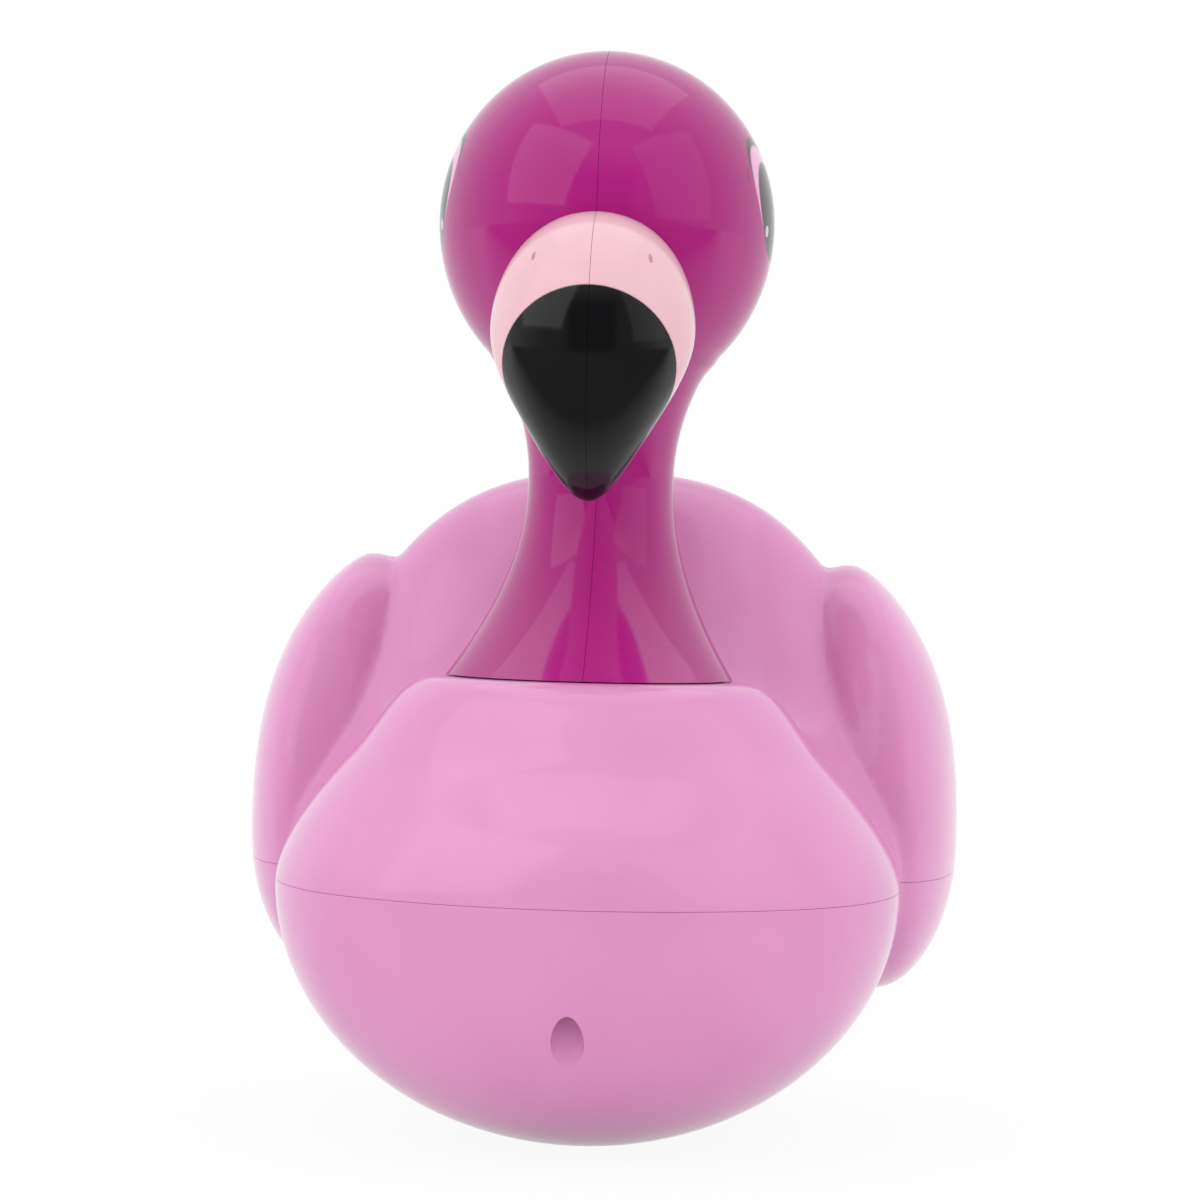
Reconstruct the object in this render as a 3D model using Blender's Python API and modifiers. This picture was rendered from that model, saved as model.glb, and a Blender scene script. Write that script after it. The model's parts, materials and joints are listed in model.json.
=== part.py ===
# Flamingo water toy, driven by two propellers under remote control
# Metres, Z up, floor at zero; the bird looks along -Y, so its left side is +X

import math

import bmesh
import bpy
import numpy as np
from mathutils import Matrix, Vector

TOY_NAME = "flamingo_water_toy"

# Gaps and walls
GAP = 0.0003
WALL = 0.0026
WING_SPARE = 0.003        # how much thicker the wall is in the leaning wings
NECK_WALL = 0.0024
ROUND_STEPS = 10

# Facets of the hull and wing forms, round them and along them
FINE_HULL = (24, 18)
COARSE_HULL = (12, 10)
FINE_WING = (14, 10)
COARSE_WING = (8, 7)
TAIL_FACETS = (12, 8)
FINE_BEAK = (14, 10)
COARSE_BEAK = (12, 10)

# Hull lines
SEAM_Z = 0.066
NOSE_Y = -0.114
STERN_Y = 0.104
# Each row: place along the hull, half breadth, height over the seam, depth under it, fullness of the top
HULL_STATIONS = (
    (-0.099, 0.0490, 0.0270, 0.0400, 1.60),
    (-0.079, 0.0680, 0.0520, 0.0560, 1.50),
    (-0.046, 0.0780, 0.0660, 0.0655, 1.50),
    (-0.027, 0.0785, 0.0530, 0.0667, 1.70),
    (-0.009, 0.0775, 0.0600, 0.0695, 2.10),
    (0.021, 0.0760, 0.0985, 0.0720, 2.50),
    (0.056, 0.0670, 0.0955, 0.0668, 2.45),
    (0.086, 0.0460, 0.0720, 0.0380, 2.30),
)
SEAT_BLEND = 0.6          # how far round the neck the hull is drawn level, in seat widths
SEAT_SHARE = 0.3          # share of the seat's height over the seam below which nothing is drawn level
REBATE_DEPTH = 0.0013
REBATE_HALF_HEIGHT = 0.0011
GASKET_HALF_HEIGHT = 0.0008
GASKET_SPARE = 0.0010

# Wings
WING_FRONT_Y = -0.016
WING_TIP_Y = 0.078
WING_CENTRE_X = 0.0780
WING_CENTRE_Z = 0.074
WING_BULGE = 0.015
WING_INNER_BULGE = 0.036  # how far the wing reaches in under the back
WING_TOP_LEAN = 0.0145    # how far the top edge leans in over the back
WING_FOOT_LEAN = 0.007    # how far the lower edge tucks in
WING_TIP_TUCK = 0.026     # how far the rear tip follows the narrowing hull
WING_UP = 0.0715
WING_DOWN = 0.040
WING_TIP_RISE = 0.020

# Tail
TAIL_ROOT_Y = 0.062
TAIL_TIP_Y = 0.114
TAIL_ROOT_Z = 0.108
TAIL_TIP_Z = 0.130
TAIL_HALF_WIDTH = 0.026
TAIL_HALF_HEIGHT = 0.013

# Neck and head
NECK_SEAT_Z = 0.118
NECK_SEAT_Y = -0.053
NECK_SEAT_HALF_WIDTH = 0.0358
NECK_SEAT_HALF_DEPTH = 0.026
NECK_WAIST_Z = 0.167
NECK_WAIST_Y = -0.023
NECK_WAIST_RADIUS = 0.0184
NECK_TOP_FLARE = 0.0088
NECK_TOP_Z = 0.197
HEAD_Z = 0.2314
HEAD_RADIUS = 0.0424
HEAD_UP = 0.0437
HEAD_DOWN = 0.0455
HEAD_DEPTH_RATIO = 1.04
NECK_BLEND = 0.0035
HEAD_RINGS = 15
HEAD_STEPS = 16
SPIGOT_RADIUS = 0.0290
SPIGOT_BORE = 0.0225
SPIGOT_LENGTH = 0.003
RETAINER_RADIUS = 0.0318
RETAINER_BORE = 0.0210
RETAINER_TOP_Z = 0.1142
RETAINER_THICKNESS = 0.0024
NECK_SCREW_X = 0.0257

# Beak
BEAK_ROOT = (-0.0420, 0.2175)
BEAK_BEND = (-0.0880, 0.2126)
BEAK_TIP = (-0.0745, 0.1622)
# Each row: place along the beak, half width and half height before the ends are rounded
BEAK_STATIONS = (
    (0.00, 0.0290, 0.0260),
    (0.25, 0.0262, 0.0255),
    (0.50, 0.0248, 0.0205),
    (0.70, 0.0221, 0.0160),
    (0.85, 0.0184, 0.0146),
    (1.00, 0.0150, 0.0118),
)
BEAK_WALL = 0.0036
BEAK_PLUG_INSET = 0.0016   # the plug that sits in the face is this much smaller than the beak
BEAK_PLUG_DEPTH = 0.006
TIP_EDGE_TOP = (-0.0905, 0.2160)
TIP_EDGE_SIDE = (-0.0781, 0.1849)

# Hull screws: place across and along the hull
HULL_SCREWS = {
    "front": (0.0, -0.104),
    "mid_left": (0.062, -0.008),
    "mid_right": (-0.062, -0.008),
    "rear_left": (0.052, 0.040),
    "rear_right": (-0.052, 0.040),
    "stern": (0.0, 0.083),
}
SCREW_HOLE_RADIUS = 0.004
SCREW_COLUMN_RADIUS = 0.0063
SCREW_FLOOR = 0.0025
BOSS_RADIUS = 0.0045
BOSS_HEIGHT = 0.020
RIB = 0.0022
SCREW_HEAD_RADIUS = 0.0029
SCREW_SHANK_RADIUS = 0.00115
SCREW_HEAD_HEIGHT = 0.0019
SCREW_POINT = 0.0012
HULL_SCREW_LENGTH = 0.014
NECK_SCREW_LENGTH = 0.0078
COVER_SCREW_LENGTH = 0.009
BOARD_SCREW_LENGTH = 0.0055
PILOT_RADIUS = 0.00145
SMALL_STEPS = 8
PAST = 0.01               # how far a cutter runs on past the surface it opens

# Drive
DRIVE_X = 0.026
DRIVE_Z = 0.0235
MOTOR_FRONT_Y = 0.036
MOTOR_LENGTH = 0.025
MOTOR_RADIUS = 0.010
MOTOR_HALF_HEIGHT = 0.0076
CLAMP_WALL = 0.0025
CLAMP_LENGTH = 0.010
SHAFT_RADIUS = 0.0011
TUBE_RADIUS = 0.003
TUBE_FRONT_Y = 0.0735
TUBE_REAR_Y = 0.0885
FAIRING_RADIUS = 0.006
FAIRING_LEAD = 0.004      # how far the sleeve reaches inwards past its tube
TUBE_SHOW = 0.002         # how far the tube stands out of its sleeve
COUPLING_RADIUS = 0.0035
BEARING_RADIUS = 0.003
REAR_BEARING = 0.0015
FRONT_BEARING = 0.0009
SINK = 0.001              # how far joined pieces reach into each other
MOTOR_BORE = 0.012
MOTOR_SHAFT_SHOW = 0.006
COUPLING_START = 0.0025
TERMINAL_X = 0.0055
TERMINAL_Z = 0.003
TERMINAL_THICKNESS = 0.0006
TERMINAL_HALF_WIDTH = 0.001
TERMINAL_LENGTH = 0.003
PROP_RADIUS = 0.0115
PROP_FRONT_Y = 0.0895
PROP_LENGTH = 0.010
HUB_RADIUS = 0.0033
BLADE_COUNT = 3
BLADE_ROOT = 0.0022
BLADE_CHORD = 0.0085
BLADE_THICKNESS = 0.0011
ROOT_PITCH = 58.0
TIP_PITCH = 28.0
GUARD_BORE = 0.013
GUARD_WALL = 0.0016
GUARD_FRONT_Y = 0.0905
GUARD_REAR_Y = 0.1045
GUARD_STEPS = 16
GUARD_BAR_RADIUS = 0.0009
GUARD_BAR_COUNT = 3
GUARD_HUB_LENGTH = 0.002
GUARD_POST_HALF = 0.0022
GUARD_POST_LENGTH = 0.006

# Battery compartment
CELL_RADIUS = 0.00705
CELL_LENGTH = 0.0505
CELL_PITCH = 0.0146
CELL_Z = 0.0129
CELL_COUNT = 3
CELL_NUB_RADIUS = 0.0026
CELL_NUB = 0.0012
CELL_EDGE = 0.0006
SPRING_RADIUS = 0.0038
PLATE_HALF_WIDTH = 0.021
PLATE_HALF_HEIGHT = 0.005
PLATE_THICKNESS = 0.0005
WELL_Y = 0.003
WELL_HALF_WIDTH = 0.0226
WELL_HALF_LENGTH = 0.0295
WELL_TOP_Z = 0.0208
WELL_WALL = 0.0022
COVER_HALF_WIDTH = 0.0245
COVER_HALF_LENGTH = 0.0325
COVER_CORNER = 0.005
COVER_BOTTOM_Z = 0.0004
COVER_TOP_Z = 0.0042
COVER_TAB_RADIUS = 0.007
COVER_TAB_REACH = 0.034
COVER_SCREW_Z = 0.0026
COVER_HOLLOW = (0.019, 0.027, 0.003)
COVER_HOLLOW_Z = 0.0020
RECESS_TOP_Z = 0.0054
RECESS_WALL = 0.003
TAB_BOSS_HEIGHT = 0.010
COVER_TRAVEL_ORIGIN = (0.0, WELL_Y, 0.0)

# Switch, water contacts, board and ballast
SWITCH_Y = 0.0515
SWITCH_TRAVEL = 0.003
SWITCH_BOTTOM_Z = 0.0041
SWITCH_HALF_WIDTH = 0.0070
SWITCH_HALF_LENGTH = 0.0038
SWITCH_HEIGHT = 0.0062
SWITCH_HOLLOW = (0.0042, 0.0018, 0.0042)
SWITCH_SLOT = (0.0048, 0.0023, 0.0015)
SWITCH_SLOT_TOP_Z = 0.006
SWITCH_RECESS = (0.0075, 0.0045, 0.002)
SWITCH_RECESS_Z = 0.0011
KNOB_HALF = (0.0019, 0.0014)
KNOB_BOTTOM_Z = 0.0007
KNOB_RISE = 0.0036
KNOB_EDGE = 0.0003
CONTACT_X = 0.013
CONTACT_Y = 0.0505
CONTACT_RADIUS = 0.0030
CONTACT_SHANK = 0.0012
CONTACT_SEAT_Z = 0.0012
CONTACT_TOP_Z = 0.009
BOARD_Z = 0.0275
BOARD_HALF_WIDTH = 0.022
BOARD_HALF_LENGTH = 0.020
BOARD_THICKNESS = 0.0016
BOARD_POST_X = 0.018
BOARD_POST_RADIUS = 0.0026
# Each row: place across and along the board, width, length and height of a block on it
BOARD_BLOCKS = (
    (-0.006, -0.008, 0.010, 0.007, 0.0024),
    (0.008, -0.010, 0.005, 0.005, 0.0018),
    (-0.011, 0.010, 0.006, 0.004, 0.0040),
    (0.011, 0.010, 0.006, 0.004, 0.0040),
)
CAPACITOR = (0.002, 0.007, 0.0032, 0.008)
BALLAST_X = 0.0355
BALLAST_Y = -0.006
BALLAST_SIZE = (0.011, 0.046, 0.0075)
BALLAST_Z = 0.0145
WIRE_RADIUS = 0.0007
# Motor leads: start and bend from the middle of the battery bay, drop and end from the motor
LEAD_START = (0.014, 0.016)
LEAD_BEND = (0.017, 0.022, 0.004)
LEAD_DROP = (0.003, 0.006, 0.010)
LEAD_END_Y = 0.0022
AERIAL_START = (-0.012, -0.016)
AERIAL_POINTS = (
    (-0.009, -0.022, 0.040),
    (-0.002, -0.040, 0.075),
    (0.0, -0.050, 0.118),
    (0.0, -0.030, 0.155),
    (0.0, -0.023, 0.195),
    (0.0, -0.020, 0.235),
)

# Finishes: colour, roughness, metallic
FINISHES = {
    "pink_plastic": ((0.745, 0.305, 0.565), 0.22, 0.0),
    "magenta_plastic": ((0.470, 0.020, 0.190), 0.15, 0.0),
    "pale_pink_plastic": ((0.840, 0.520, 0.570), 0.22, 0.0),
    "black_plastic": ((0.012, 0.012, 0.012), 0.20, 0.0),
    "grey_plastic": ((0.180, 0.180, 0.190), 0.45, 0.0),
    "white_plastic": ((0.780, 0.780, 0.760), 0.40, 0.0),
    "rubber": ((0.030, 0.030, 0.032), 0.80, 0.0),
    "steel": ((0.600, 0.600, 0.600), 0.30, 1.0),
    "brass": ((0.720, 0.500, 0.200), 0.30, 1.0),
    "cell_wrap": ((0.080, 0.090, 0.110), 0.35, 0.0),
    "board_green": ((0.020, 0.150, 0.060), 0.45, 0.0),
    "red_wire": ((0.500, 0.020, 0.020), 0.50, 0.0),
}


def clear_scene():
    for item in list(bpy.data.objects):
        bpy.data.objects.remove(item, do_unlink=True)


def make_collection(name):
    group = bpy.data.collections.new(name)
    bpy.context.scene.collection.children.link(group)
    return group


clear_scene()
PARTS = make_collection(TOY_NAME)
CUTTERS = make_collection("cutters")


# Small helpers


def make_material(name, colour, roughness, metallic):
    material = bpy.data.materials.new(name)
    material.use_nodes = True
    shader = material.node_tree.nodes["Principled BSDF"]
    shader.inputs["Base Color"].default_value = (*colour, 1.0)
    shader.inputs["Roughness"].default_value = roughness
    shader.inputs["Metallic"].default_value = metallic
    material.diffuse_color = (*colour, 1.0)
    return material


def tool(name, bm):
    """A helper solid for cutting and joining, left out of the finished toy."""
    mesh = bpy.data.meshes.new(name)
    bm.to_mesh(mesh)
    bm.free()
    item = bpy.data.objects.new(name, mesh)
    item.hide_render = True
    item.display_type = "WIRE"
    CUTTERS.objects.link(item)
    return item


def finish_part(item, name, finish, origin=(0.0, 0.0, 0.0)):
    """Turns a helper into a named part with its own material and its origin at a point."""
    CUTTERS.objects.unlink(item)
    PARTS.objects.link(item)
    item.name = name
    item.data.name = name
    item.hide_render = False
    item.display_type = "TEXTURED"
    item.data.transform(Matrix.Translation(-Vector(origin)))
    item.location = origin
    item.data.materials.clear()
    item.data.materials.append(make_material(name, *FINISHES[finish]))
    item.data.shade_smooth()
    item.data.set_sharp_from_angle(angle=math.radians(35))
    return item


def settle(item):
    """Makes the modifiers of an object real."""
    bpy.context.view_layer.update()
    graph = bpy.context.evaluated_depsgraph_get()
    mesh = bpy.data.meshes.new_from_object(item.evaluated_get(graph))
    old = item.data
    item.modifiers.clear()
    item.data = mesh
    bpy.data.meshes.remove(old)
    return item


def is_closed(mesh):
    bm = bmesh.new()
    bm.from_mesh(mesh)
    closed = len(bm.edges) > 0 and all(edge.is_manifold for edge in bm.edges)
    bm.free()
    return closed


def combine(item, other, operation):
    """Joins or cuts two solids; the second solver is for where the first leaves a hairline gap."""
    start = item.data.copy()
    for solver in ("EXACT", "MANIFOLD"):
        item.data = start.copy()
        change = item.modifiers.new(operation.lower(), "BOOLEAN")
        change.operation = operation
        change.solver = solver
        change.object = other
        settle(item)
        if is_closed(item.data):
            break
    return item


def cut(item, *others):
    for other in others:
        combine(item, other, "DIFFERENCE")
    return item


def join(item, *others):
    for other in others:
        combine(item, other, "UNION")
    return item


def keep_inside(item, other):
    return combine(item, other, "INTERSECT")


def copy_of(item):
    twin = item.copy()
    twin.data = item.data.copy()
    CUTTERS.objects.link(twin)
    return twin


def box(low, high, name="box"):
    low = Vector(low)
    high = Vector(high)
    bm = bmesh.new()
    bmesh.ops.create_cube(bm, size=1.0)
    bmesh.ops.scale(bm, vec=high - low, verts=bm.verts)
    bmesh.ops.translate(bm, vec=(low + high) / 2, verts=bm.verts)
    return tool(name, bm)


def rounded_plate(half_width, half_length, corner, bottom, top, centre_y):
    """An upright prism with a rounded rectangular outline."""
    bm = bmesh.new()
    bmesh.ops.create_cube(bm, size=2.0)
    bmesh.ops.scale(bm, vec=(half_width, half_length, (top - bottom) / 2), verts=bm.verts)
    upright = []
    for edge in bm.edges:
        ends = edge.verts
        if abs(ends[0].co.z - ends[1].co.z) > (top - bottom) / 2:
            upright.append(edge)
    bmesh.ops.bevel(bm, geom=upright, offset=corner, segments=3, profile=0.5, affect="EDGES")
    bmesh.ops.translate(bm, vec=(0.0, centre_y, (top + bottom) / 2), verts=bm.verts)
    return tool("plate", bm)


def rod(start, end, radius, end_radius=None, steps=ROUND_STEPS):
    """A round bar or cone between two points."""
    start = Vector(start)
    along = Vector(end) - start
    bm = bmesh.new()
    bmesh.ops.create_cone(
        bm,
        cap_ends=True,
        segments=steps,
        radius1=radius,
        radius2=radius if end_radius is None else end_radius,
        depth=along.length,
    )
    turn = Vector((0.0, 0.0, 1.0)).rotation_difference(along).to_matrix().to_4x4()
    bmesh.ops.transform(bm, matrix=Matrix.Translation(start + along / 2) @ turn, verts=bm.verts)
    return tool("rod", bm)


def turned(profile, steps=ROUND_STEPS):
    """A profile of radius and height, listed from the top down its outer side, turned round Z."""
    bm = bmesh.new()
    points = [bm.verts.new((radius, 0.0, height)) for radius, height in profile]
    for first, second in zip(points, points[1:]):
        bm.edges.new((first, second))
    item = tool("turned", bm)
    sweep = item.modifiers.new("sweep", "SCREW")
    sweep.steps = steps
    sweep.render_steps = steps
    sweep.use_merge_vertices = True
    sweep.merge_threshold = 0.00001
    settle(item)
    bm = bmesh.new()
    bm.from_mesh(item.data)
    bmesh.ops.remove_doubles(bm, verts=bm.verts, dist=0.00001)
    bmesh.ops.recalc_face_normals(bm, faces=bm.faces)
    bm.to_mesh(item.data)
    bm.free()
    return item


def place(item, matrix):
    item.data.transform(matrix)
    return item


def along_y(x, z):
    """The placing that lays a turned piece with its top end towards -Y, on an axis through x and z."""
    return Matrix.Translation((x, 0.0, z)) @ Matrix.Rotation(math.radians(90), 4, "X")


def wire(points, radius):
    """A round wire on a smooth curve through a few points."""
    places = np.linspace(0.0, 1.0, len(points))
    lines = [smooth_curve(places, [point[axis] for point in points]) for axis in range(3)]
    curve = bpy.data.curves.new("wire", "CURVE")
    curve.dimensions = "3D"
    curve.bevel_depth = radius
    curve.bevel_resolution = 1
    curve.use_fill_caps = True
    spline = curve.splines.new("POLY")
    count = 2 * len(points) + 1
    spline.points.add(count - 1)
    for index, point in enumerate(spline.points):
        share = index / (count - 1)
        point.co = (lines[0](share), lines[1](share), lines[2](share), 1.0)
    item = bpy.data.objects.new("wire", curve)
    CUTTERS.objects.link(item)
    bpy.context.view_layer.update()
    graph = bpy.context.evaluated_depsgraph_get()
    mesh = bpy.data.meshes.new_from_object(item.evaluated_get(graph))
    bpy.data.objects.remove(item, do_unlink=True)
    bm = bmesh.new()
    bm.from_mesh(mesh)
    bmesh.ops.remove_doubles(bm, verts=bm.verts, dist=0.00001)
    bmesh.ops.recalc_face_normals(bm, faces=bm.faces)
    bpy.data.meshes.remove(mesh)
    return tool("wire", bm)


# Smooth forms


def smooth_curve(places, values):
    """A natural cubic curve through values at the given places."""
    places = np.array(places)
    values = np.array(values)
    count = len(places)
    gaps = np.diff(places)
    slopes = np.diff(values) / gaps
    system = np.eye(count)
    change = np.zeros(count)
    for i in range(1, count - 1):
        system[i, i - 1:i + 2] = (gaps[i - 1], 2 * (gaps[i - 1] + gaps[i]), gaps[i])
        change[i] = 6 * (slopes[i] - slopes[i - 1])
    bends = np.linalg.solve(system, change)

    def at(place):
        i = int(np.clip(np.searchsorted(places, place) - 1, 0, count - 2))
        gap = gaps[i]
        ahead = places[i + 1] - place
        behind = place - places[i]
        bend = (bends[i] * ahead ** 3 + bends[i + 1] * behind ** 3) / (6 * gap)
        first = (values[i] / gap - bends[i] * gap / 6) * ahead
        second = (values[i + 1] / gap - bends[i + 1] * gap / 6) * behind
        return float(bend + first + second)

    return at


def ease(share):
    share = min(1.0, max(0.0, share))
    return share * share * (3 - 2 * share)


def rounded(value, fullness):
    """One side of a superellipse: a cosine or sine made fuller or leaner."""
    return math.copysign(abs(value) ** (2 / fullness), value)


def formed_sphere(around, along, point):
    """A sphere lying along Y whose points are moved to a form."""
    bm = bmesh.new()
    bmesh.ops.create_uvsphere(bm, u_segments=around, v_segments=along, radius=1.0)
    for vert in bm.verts:
        share = min(1.0, max(-1.0, vert.co.z))
        angle = math.atan2(vert.co.y, vert.co.x) + math.pi / around
        vert.co = point(share, math.cos(angle), math.sin(angle))
    bmesh.ops.triangulate(bm, faces=bm.faces, quad_method="FIXED")
    if bm.calc_volume(signed=True) < 0:
        bmesh.ops.reverse_faces(bm, faces=bm.faces)
    return tool("form", bm)


HULL_MID_Y = (NOSE_Y + STERN_Y) / 2
HULL_HALF_LENGTH = (STERN_Y - NOSE_Y) / 2


def hull_lines():
    """Curves of half breadth, height, depth and fullness, each before the ends are rounded."""
    shares = [(row[0] - HULL_MID_Y) / HULL_HALF_LENGTH for row in HULL_STATIONS]
    curves = []
    for column in (1, 2, 3):
        sizes = []
        for share, row in zip(shares, HULL_STATIONS):
            sizes.append(row[column] / math.sqrt(1 - share * share))
        curves.append(smooth_curve([-1.0, *shares, 1.0], [sizes[0], *sizes, sizes[-1]]))
    full = [row[4] for row in HULL_STATIONS]
    curves.append(smooth_curve([-1.0, *shares, 1.0], [full[0], *full, full[-1]]))
    return curves


HULL_BREADTH, HULL_TOP, HULL_KEEL, HULL_FULLNESS = hull_lines()


def seat_distance(x, y):
    across = x / NECK_SEAT_HALF_WIDTH
    along = (y - NECK_SEAT_Y) / NECK_SEAT_HALF_DEPTH
    return math.hypot(across, along)


def hull_point(share, across, up, inset):
    girth = math.sqrt(max(0.0, 1 - share * share))
    y = HULL_MID_Y + (HULL_HALF_LENGTH - inset) * share
    fullness = HULL_FULLNESS(share) if up > 0 else 2.0
    reach = HULL_TOP(share) if up > 0 else HULL_KEEL(share)
    x = (HULL_BREADTH(share) - inset) * girth * rounded(across, fullness)
    z = SEAM_Z + (reach - inset) * girth * rounded(up, fullness)
    if z > SEAM_Z + SEAT_SHARE * (NECK_SEAT_Z - SEAM_Z):
        level = 1 - ease((seat_distance(x, y) - 1) / SEAT_BLEND)
        z += level * (NECK_SEAT_Z - inset - z)
    return Vector((x, y, z))


def hull_form(inset, around, along):
    form = formed_sphere(around, along, lambda share, c, s: hull_point(share, c, s, inset))
    reach = 2 * HULL_HALF_LENGTH
    return cut(form, box((-reach, -reach, -reach), (reach, reach, inset)))


def wing_point(share, across, up, inset, side):
    girth = math.sqrt(max(0.0, 1 - share * share))
    if share > 0:
        girth = girth ** 1.5
    middle = (WING_FRONT_Y + WING_TIP_Y) / 2
    y = middle + ((WING_TIP_Y - WING_FRONT_Y) / 2 - inset) * share
    fullness = 2.0 if up > 0 else 2.5
    reach = WING_UP if up > 0 else WING_DOWN
    rise = girth * rounded(up, fullness)
    behind = max(0.0, share) ** 2
    lean = WING_TOP_LEAN * rise ** 3 if up > 0 else WING_FOOT_LEAN * rise ** 2
    x = WING_CENTRE_X - lean - WING_TIP_TUCK * behind
    bulge = WING_BULGE if across > 0 else WING_INNER_BULGE
    x += (bulge - inset) * girth * rounded(across, fullness)
    z = WING_CENTRE_Z + WING_TIP_RISE * behind + (reach - inset) * rise
    return Vector((side * x, y, z))


def wing_form(side, inset, around, along):
    return formed_sphere(around, along, lambda share, c, s: wing_point(share, c, s, inset, side))


def tail_point(share, across, up):
    girth = math.sqrt(max(0.0, 1 - share * share))
    y = (TAIL_ROOT_Y + TAIL_TIP_Y) / 2 + (TAIL_TIP_Y - TAIL_ROOT_Y) / 2 * share
    z = TAIL_ROOT_Z + (TAIL_TIP_Z - TAIL_ROOT_Z) * ((share + 1) / 2) ** 2
    taper = 1 - 0.35 * share
    x = TAIL_HALF_WIDTH * girth * across
    z += TAIL_HALF_HEIGHT * taper * girth * up
    return Vector((x, y, z))


def hull_solid(inset, hull_facets, wing_facets, wing_spare=0.0):
    """The whole hull with its wings as one solid, drawn in by an inset and more at the wings."""
    form = hull_form(inset, *hull_facets)
    for side in (1, -1):
        join(form, wing_form(side, inset + wing_spare, *wing_facets))
    return form


# Neck, head and beak


def head_radius(z):
    """Outer radius of neck and head at a height, with a small hollow where they meet."""
    if z < NECK_WAIST_Z:
        share = (NECK_WAIST_Z - z) / (NECK_WAIST_Z - NECK_SEAT_Z)
        neck = NECK_WAIST_RADIUS + (NECK_SEAT_HALF_WIDTH - NECK_WAIST_RADIUS) * share ** 2
    else:
        share = (z - NECK_WAIST_Z) / (NECK_TOP_Z - NECK_WAIST_Z)
        neck = NECK_WAIST_RADIUS + NECK_TOP_FLARE * share ** 2
        if z > NECK_TOP_Z:
            neck = 0.0
    reach = HEAD_UP if z > HEAD_Z else HEAD_DOWN
    share = (z - HEAD_Z) / reach
    head = HEAD_RADIUS * math.sqrt(max(0.0, 1 - share * share))
    if head == 0.0 or neck == 0.0:
        return max(neck, head)
    overlap = max(0.0, NECK_BLEND - abs(neck - head)) / NECK_BLEND
    return max(neck, head) + NECK_BLEND * overlap ** 2 / 4


def head_heights(bottom, top, count):
    """Heights from the top down, closer together at the crown."""
    shares = np.linspace(0.0, 1.0, count)
    return [top - (top - bottom) * (0.35 * share ** 2 + 0.65 * share ** 1.2) for share in shares]


def head_shift(item):
    """Draws the turned neck and head to their side view: the neck leans and its foot is an oval."""
    foot_ratio = NECK_SEAT_HALF_DEPTH / NECK_SEAT_HALF_WIDTH
    for vert in item.data.vertices:
        z = vert.co.z
        lean = max(0.0, min(1.0, (NECK_WAIST_Z - z) / (NECK_WAIST_Z - NECK_SEAT_Z)))
        centre = NECK_WAIST_Y + (NECK_SEAT_Y - NECK_WAIST_Y) * lean ** 2
        ratio = 1 + (HEAD_DEPTH_RATIO - 1) * ease((z - NECK_TOP_Z) / (HEAD_Z - NECK_TOP_Z))
        ratio += (foot_ratio - 1) * lean ** 2
        vert.co.y = vert.co.y * ratio + centre
    item.data.update()
    return item


def head_solid(swell, steps=HEAD_STEPS):
    """The filled outer form of neck and head, made larger by a swell."""
    top = HEAD_Z + HEAD_UP
    heights = head_heights(NECK_SEAT_Z + GAP, top, HEAD_RINGS)
    profile = [(0.0, top + swell)]
    for z in heights[1:]:
        profile.append((head_radius(z) + swell, z))
    profile.append((0.0, heights[-1]))
    return head_shift(turned(profile, steps))


def head_shell(steps=HEAD_STEPS):
    """Neck and head as one hollow moulding with a spigot at its foot."""
    top = HEAD_Z + HEAD_UP
    seat = NECK_SEAT_Z + GAP
    profile = [(0.0, top)]
    for z in head_heights(seat, top, HEAD_RINGS)[1:]:
        profile.append((head_radius(z), z))
    profile.append((SPIGOT_RADIUS, seat))
    profile.append((SPIGOT_RADIUS, seat - SPIGOT_LENGTH))
    profile.append((SPIGOT_BORE, seat - SPIGOT_LENGTH))
    profile.append((SPIGOT_BORE, seat + SPIGOT_LENGTH))
    for z in reversed(head_heights(seat, top, HEAD_RINGS)):
        if seat + 1.3 * SPIGOT_LENGTH < z < top - 1.5 * NECK_WALL:
            profile.append((head_radius(z) - NECK_WALL, z))
    profile.append((0.0, top - NECK_WALL))
    return head_shift(turned(profile, steps))


def beak_lines():
    shares = [row[0] for row in BEAK_STATIONS]
    widths = smooth_curve(shares, [row[1] for row in BEAK_STATIONS])
    heights = smooth_curve(shares, [row[2] for row in BEAK_STATIONS])
    return widths, heights


BEAK_WIDTH, BEAK_HEIGHT = beak_lines()


def beak_point(share, across, up, inset):
    """A point on the beak, whose middle line bends down from the face to the tip."""
    t = (share + 1) / 2
    girth = math.sqrt(max(0.0, 1 - share * share))
    root, bend, tip = Vector(BEAK_ROOT), Vector(BEAK_BEND), Vector(BEAK_TIP)
    middle = root * (1 - t) ** 2 + bend * (2 * t * (1 - t)) + tip * t ** 2
    along = ((bend - root) * (1 - t) + (tip - bend) * t).normalized()
    middle -= along * inset * share
    normal = Vector((along.y, -along.x))
    x = (BEAK_WIDTH(t) - inset) * girth * across
    lift = (BEAK_HEIGHT(t) - inset) * girth * up
    return Vector((x, middle.x + normal.x * lift, middle.y + normal.y * lift))


def beak_form(inset, facets=FINE_BEAK):
    return formed_sphere(*facets, lambda share, c, s: beak_point(share, c, s, inset))


def half_space(side):
    """A box that takes away all but one side of the centre plane."""
    reach = 0.4
    near = -side * reach
    far = side * GAP / 2
    return box((min(near, far), -reach, -reach), (max(near, far), reach, reach))


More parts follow.
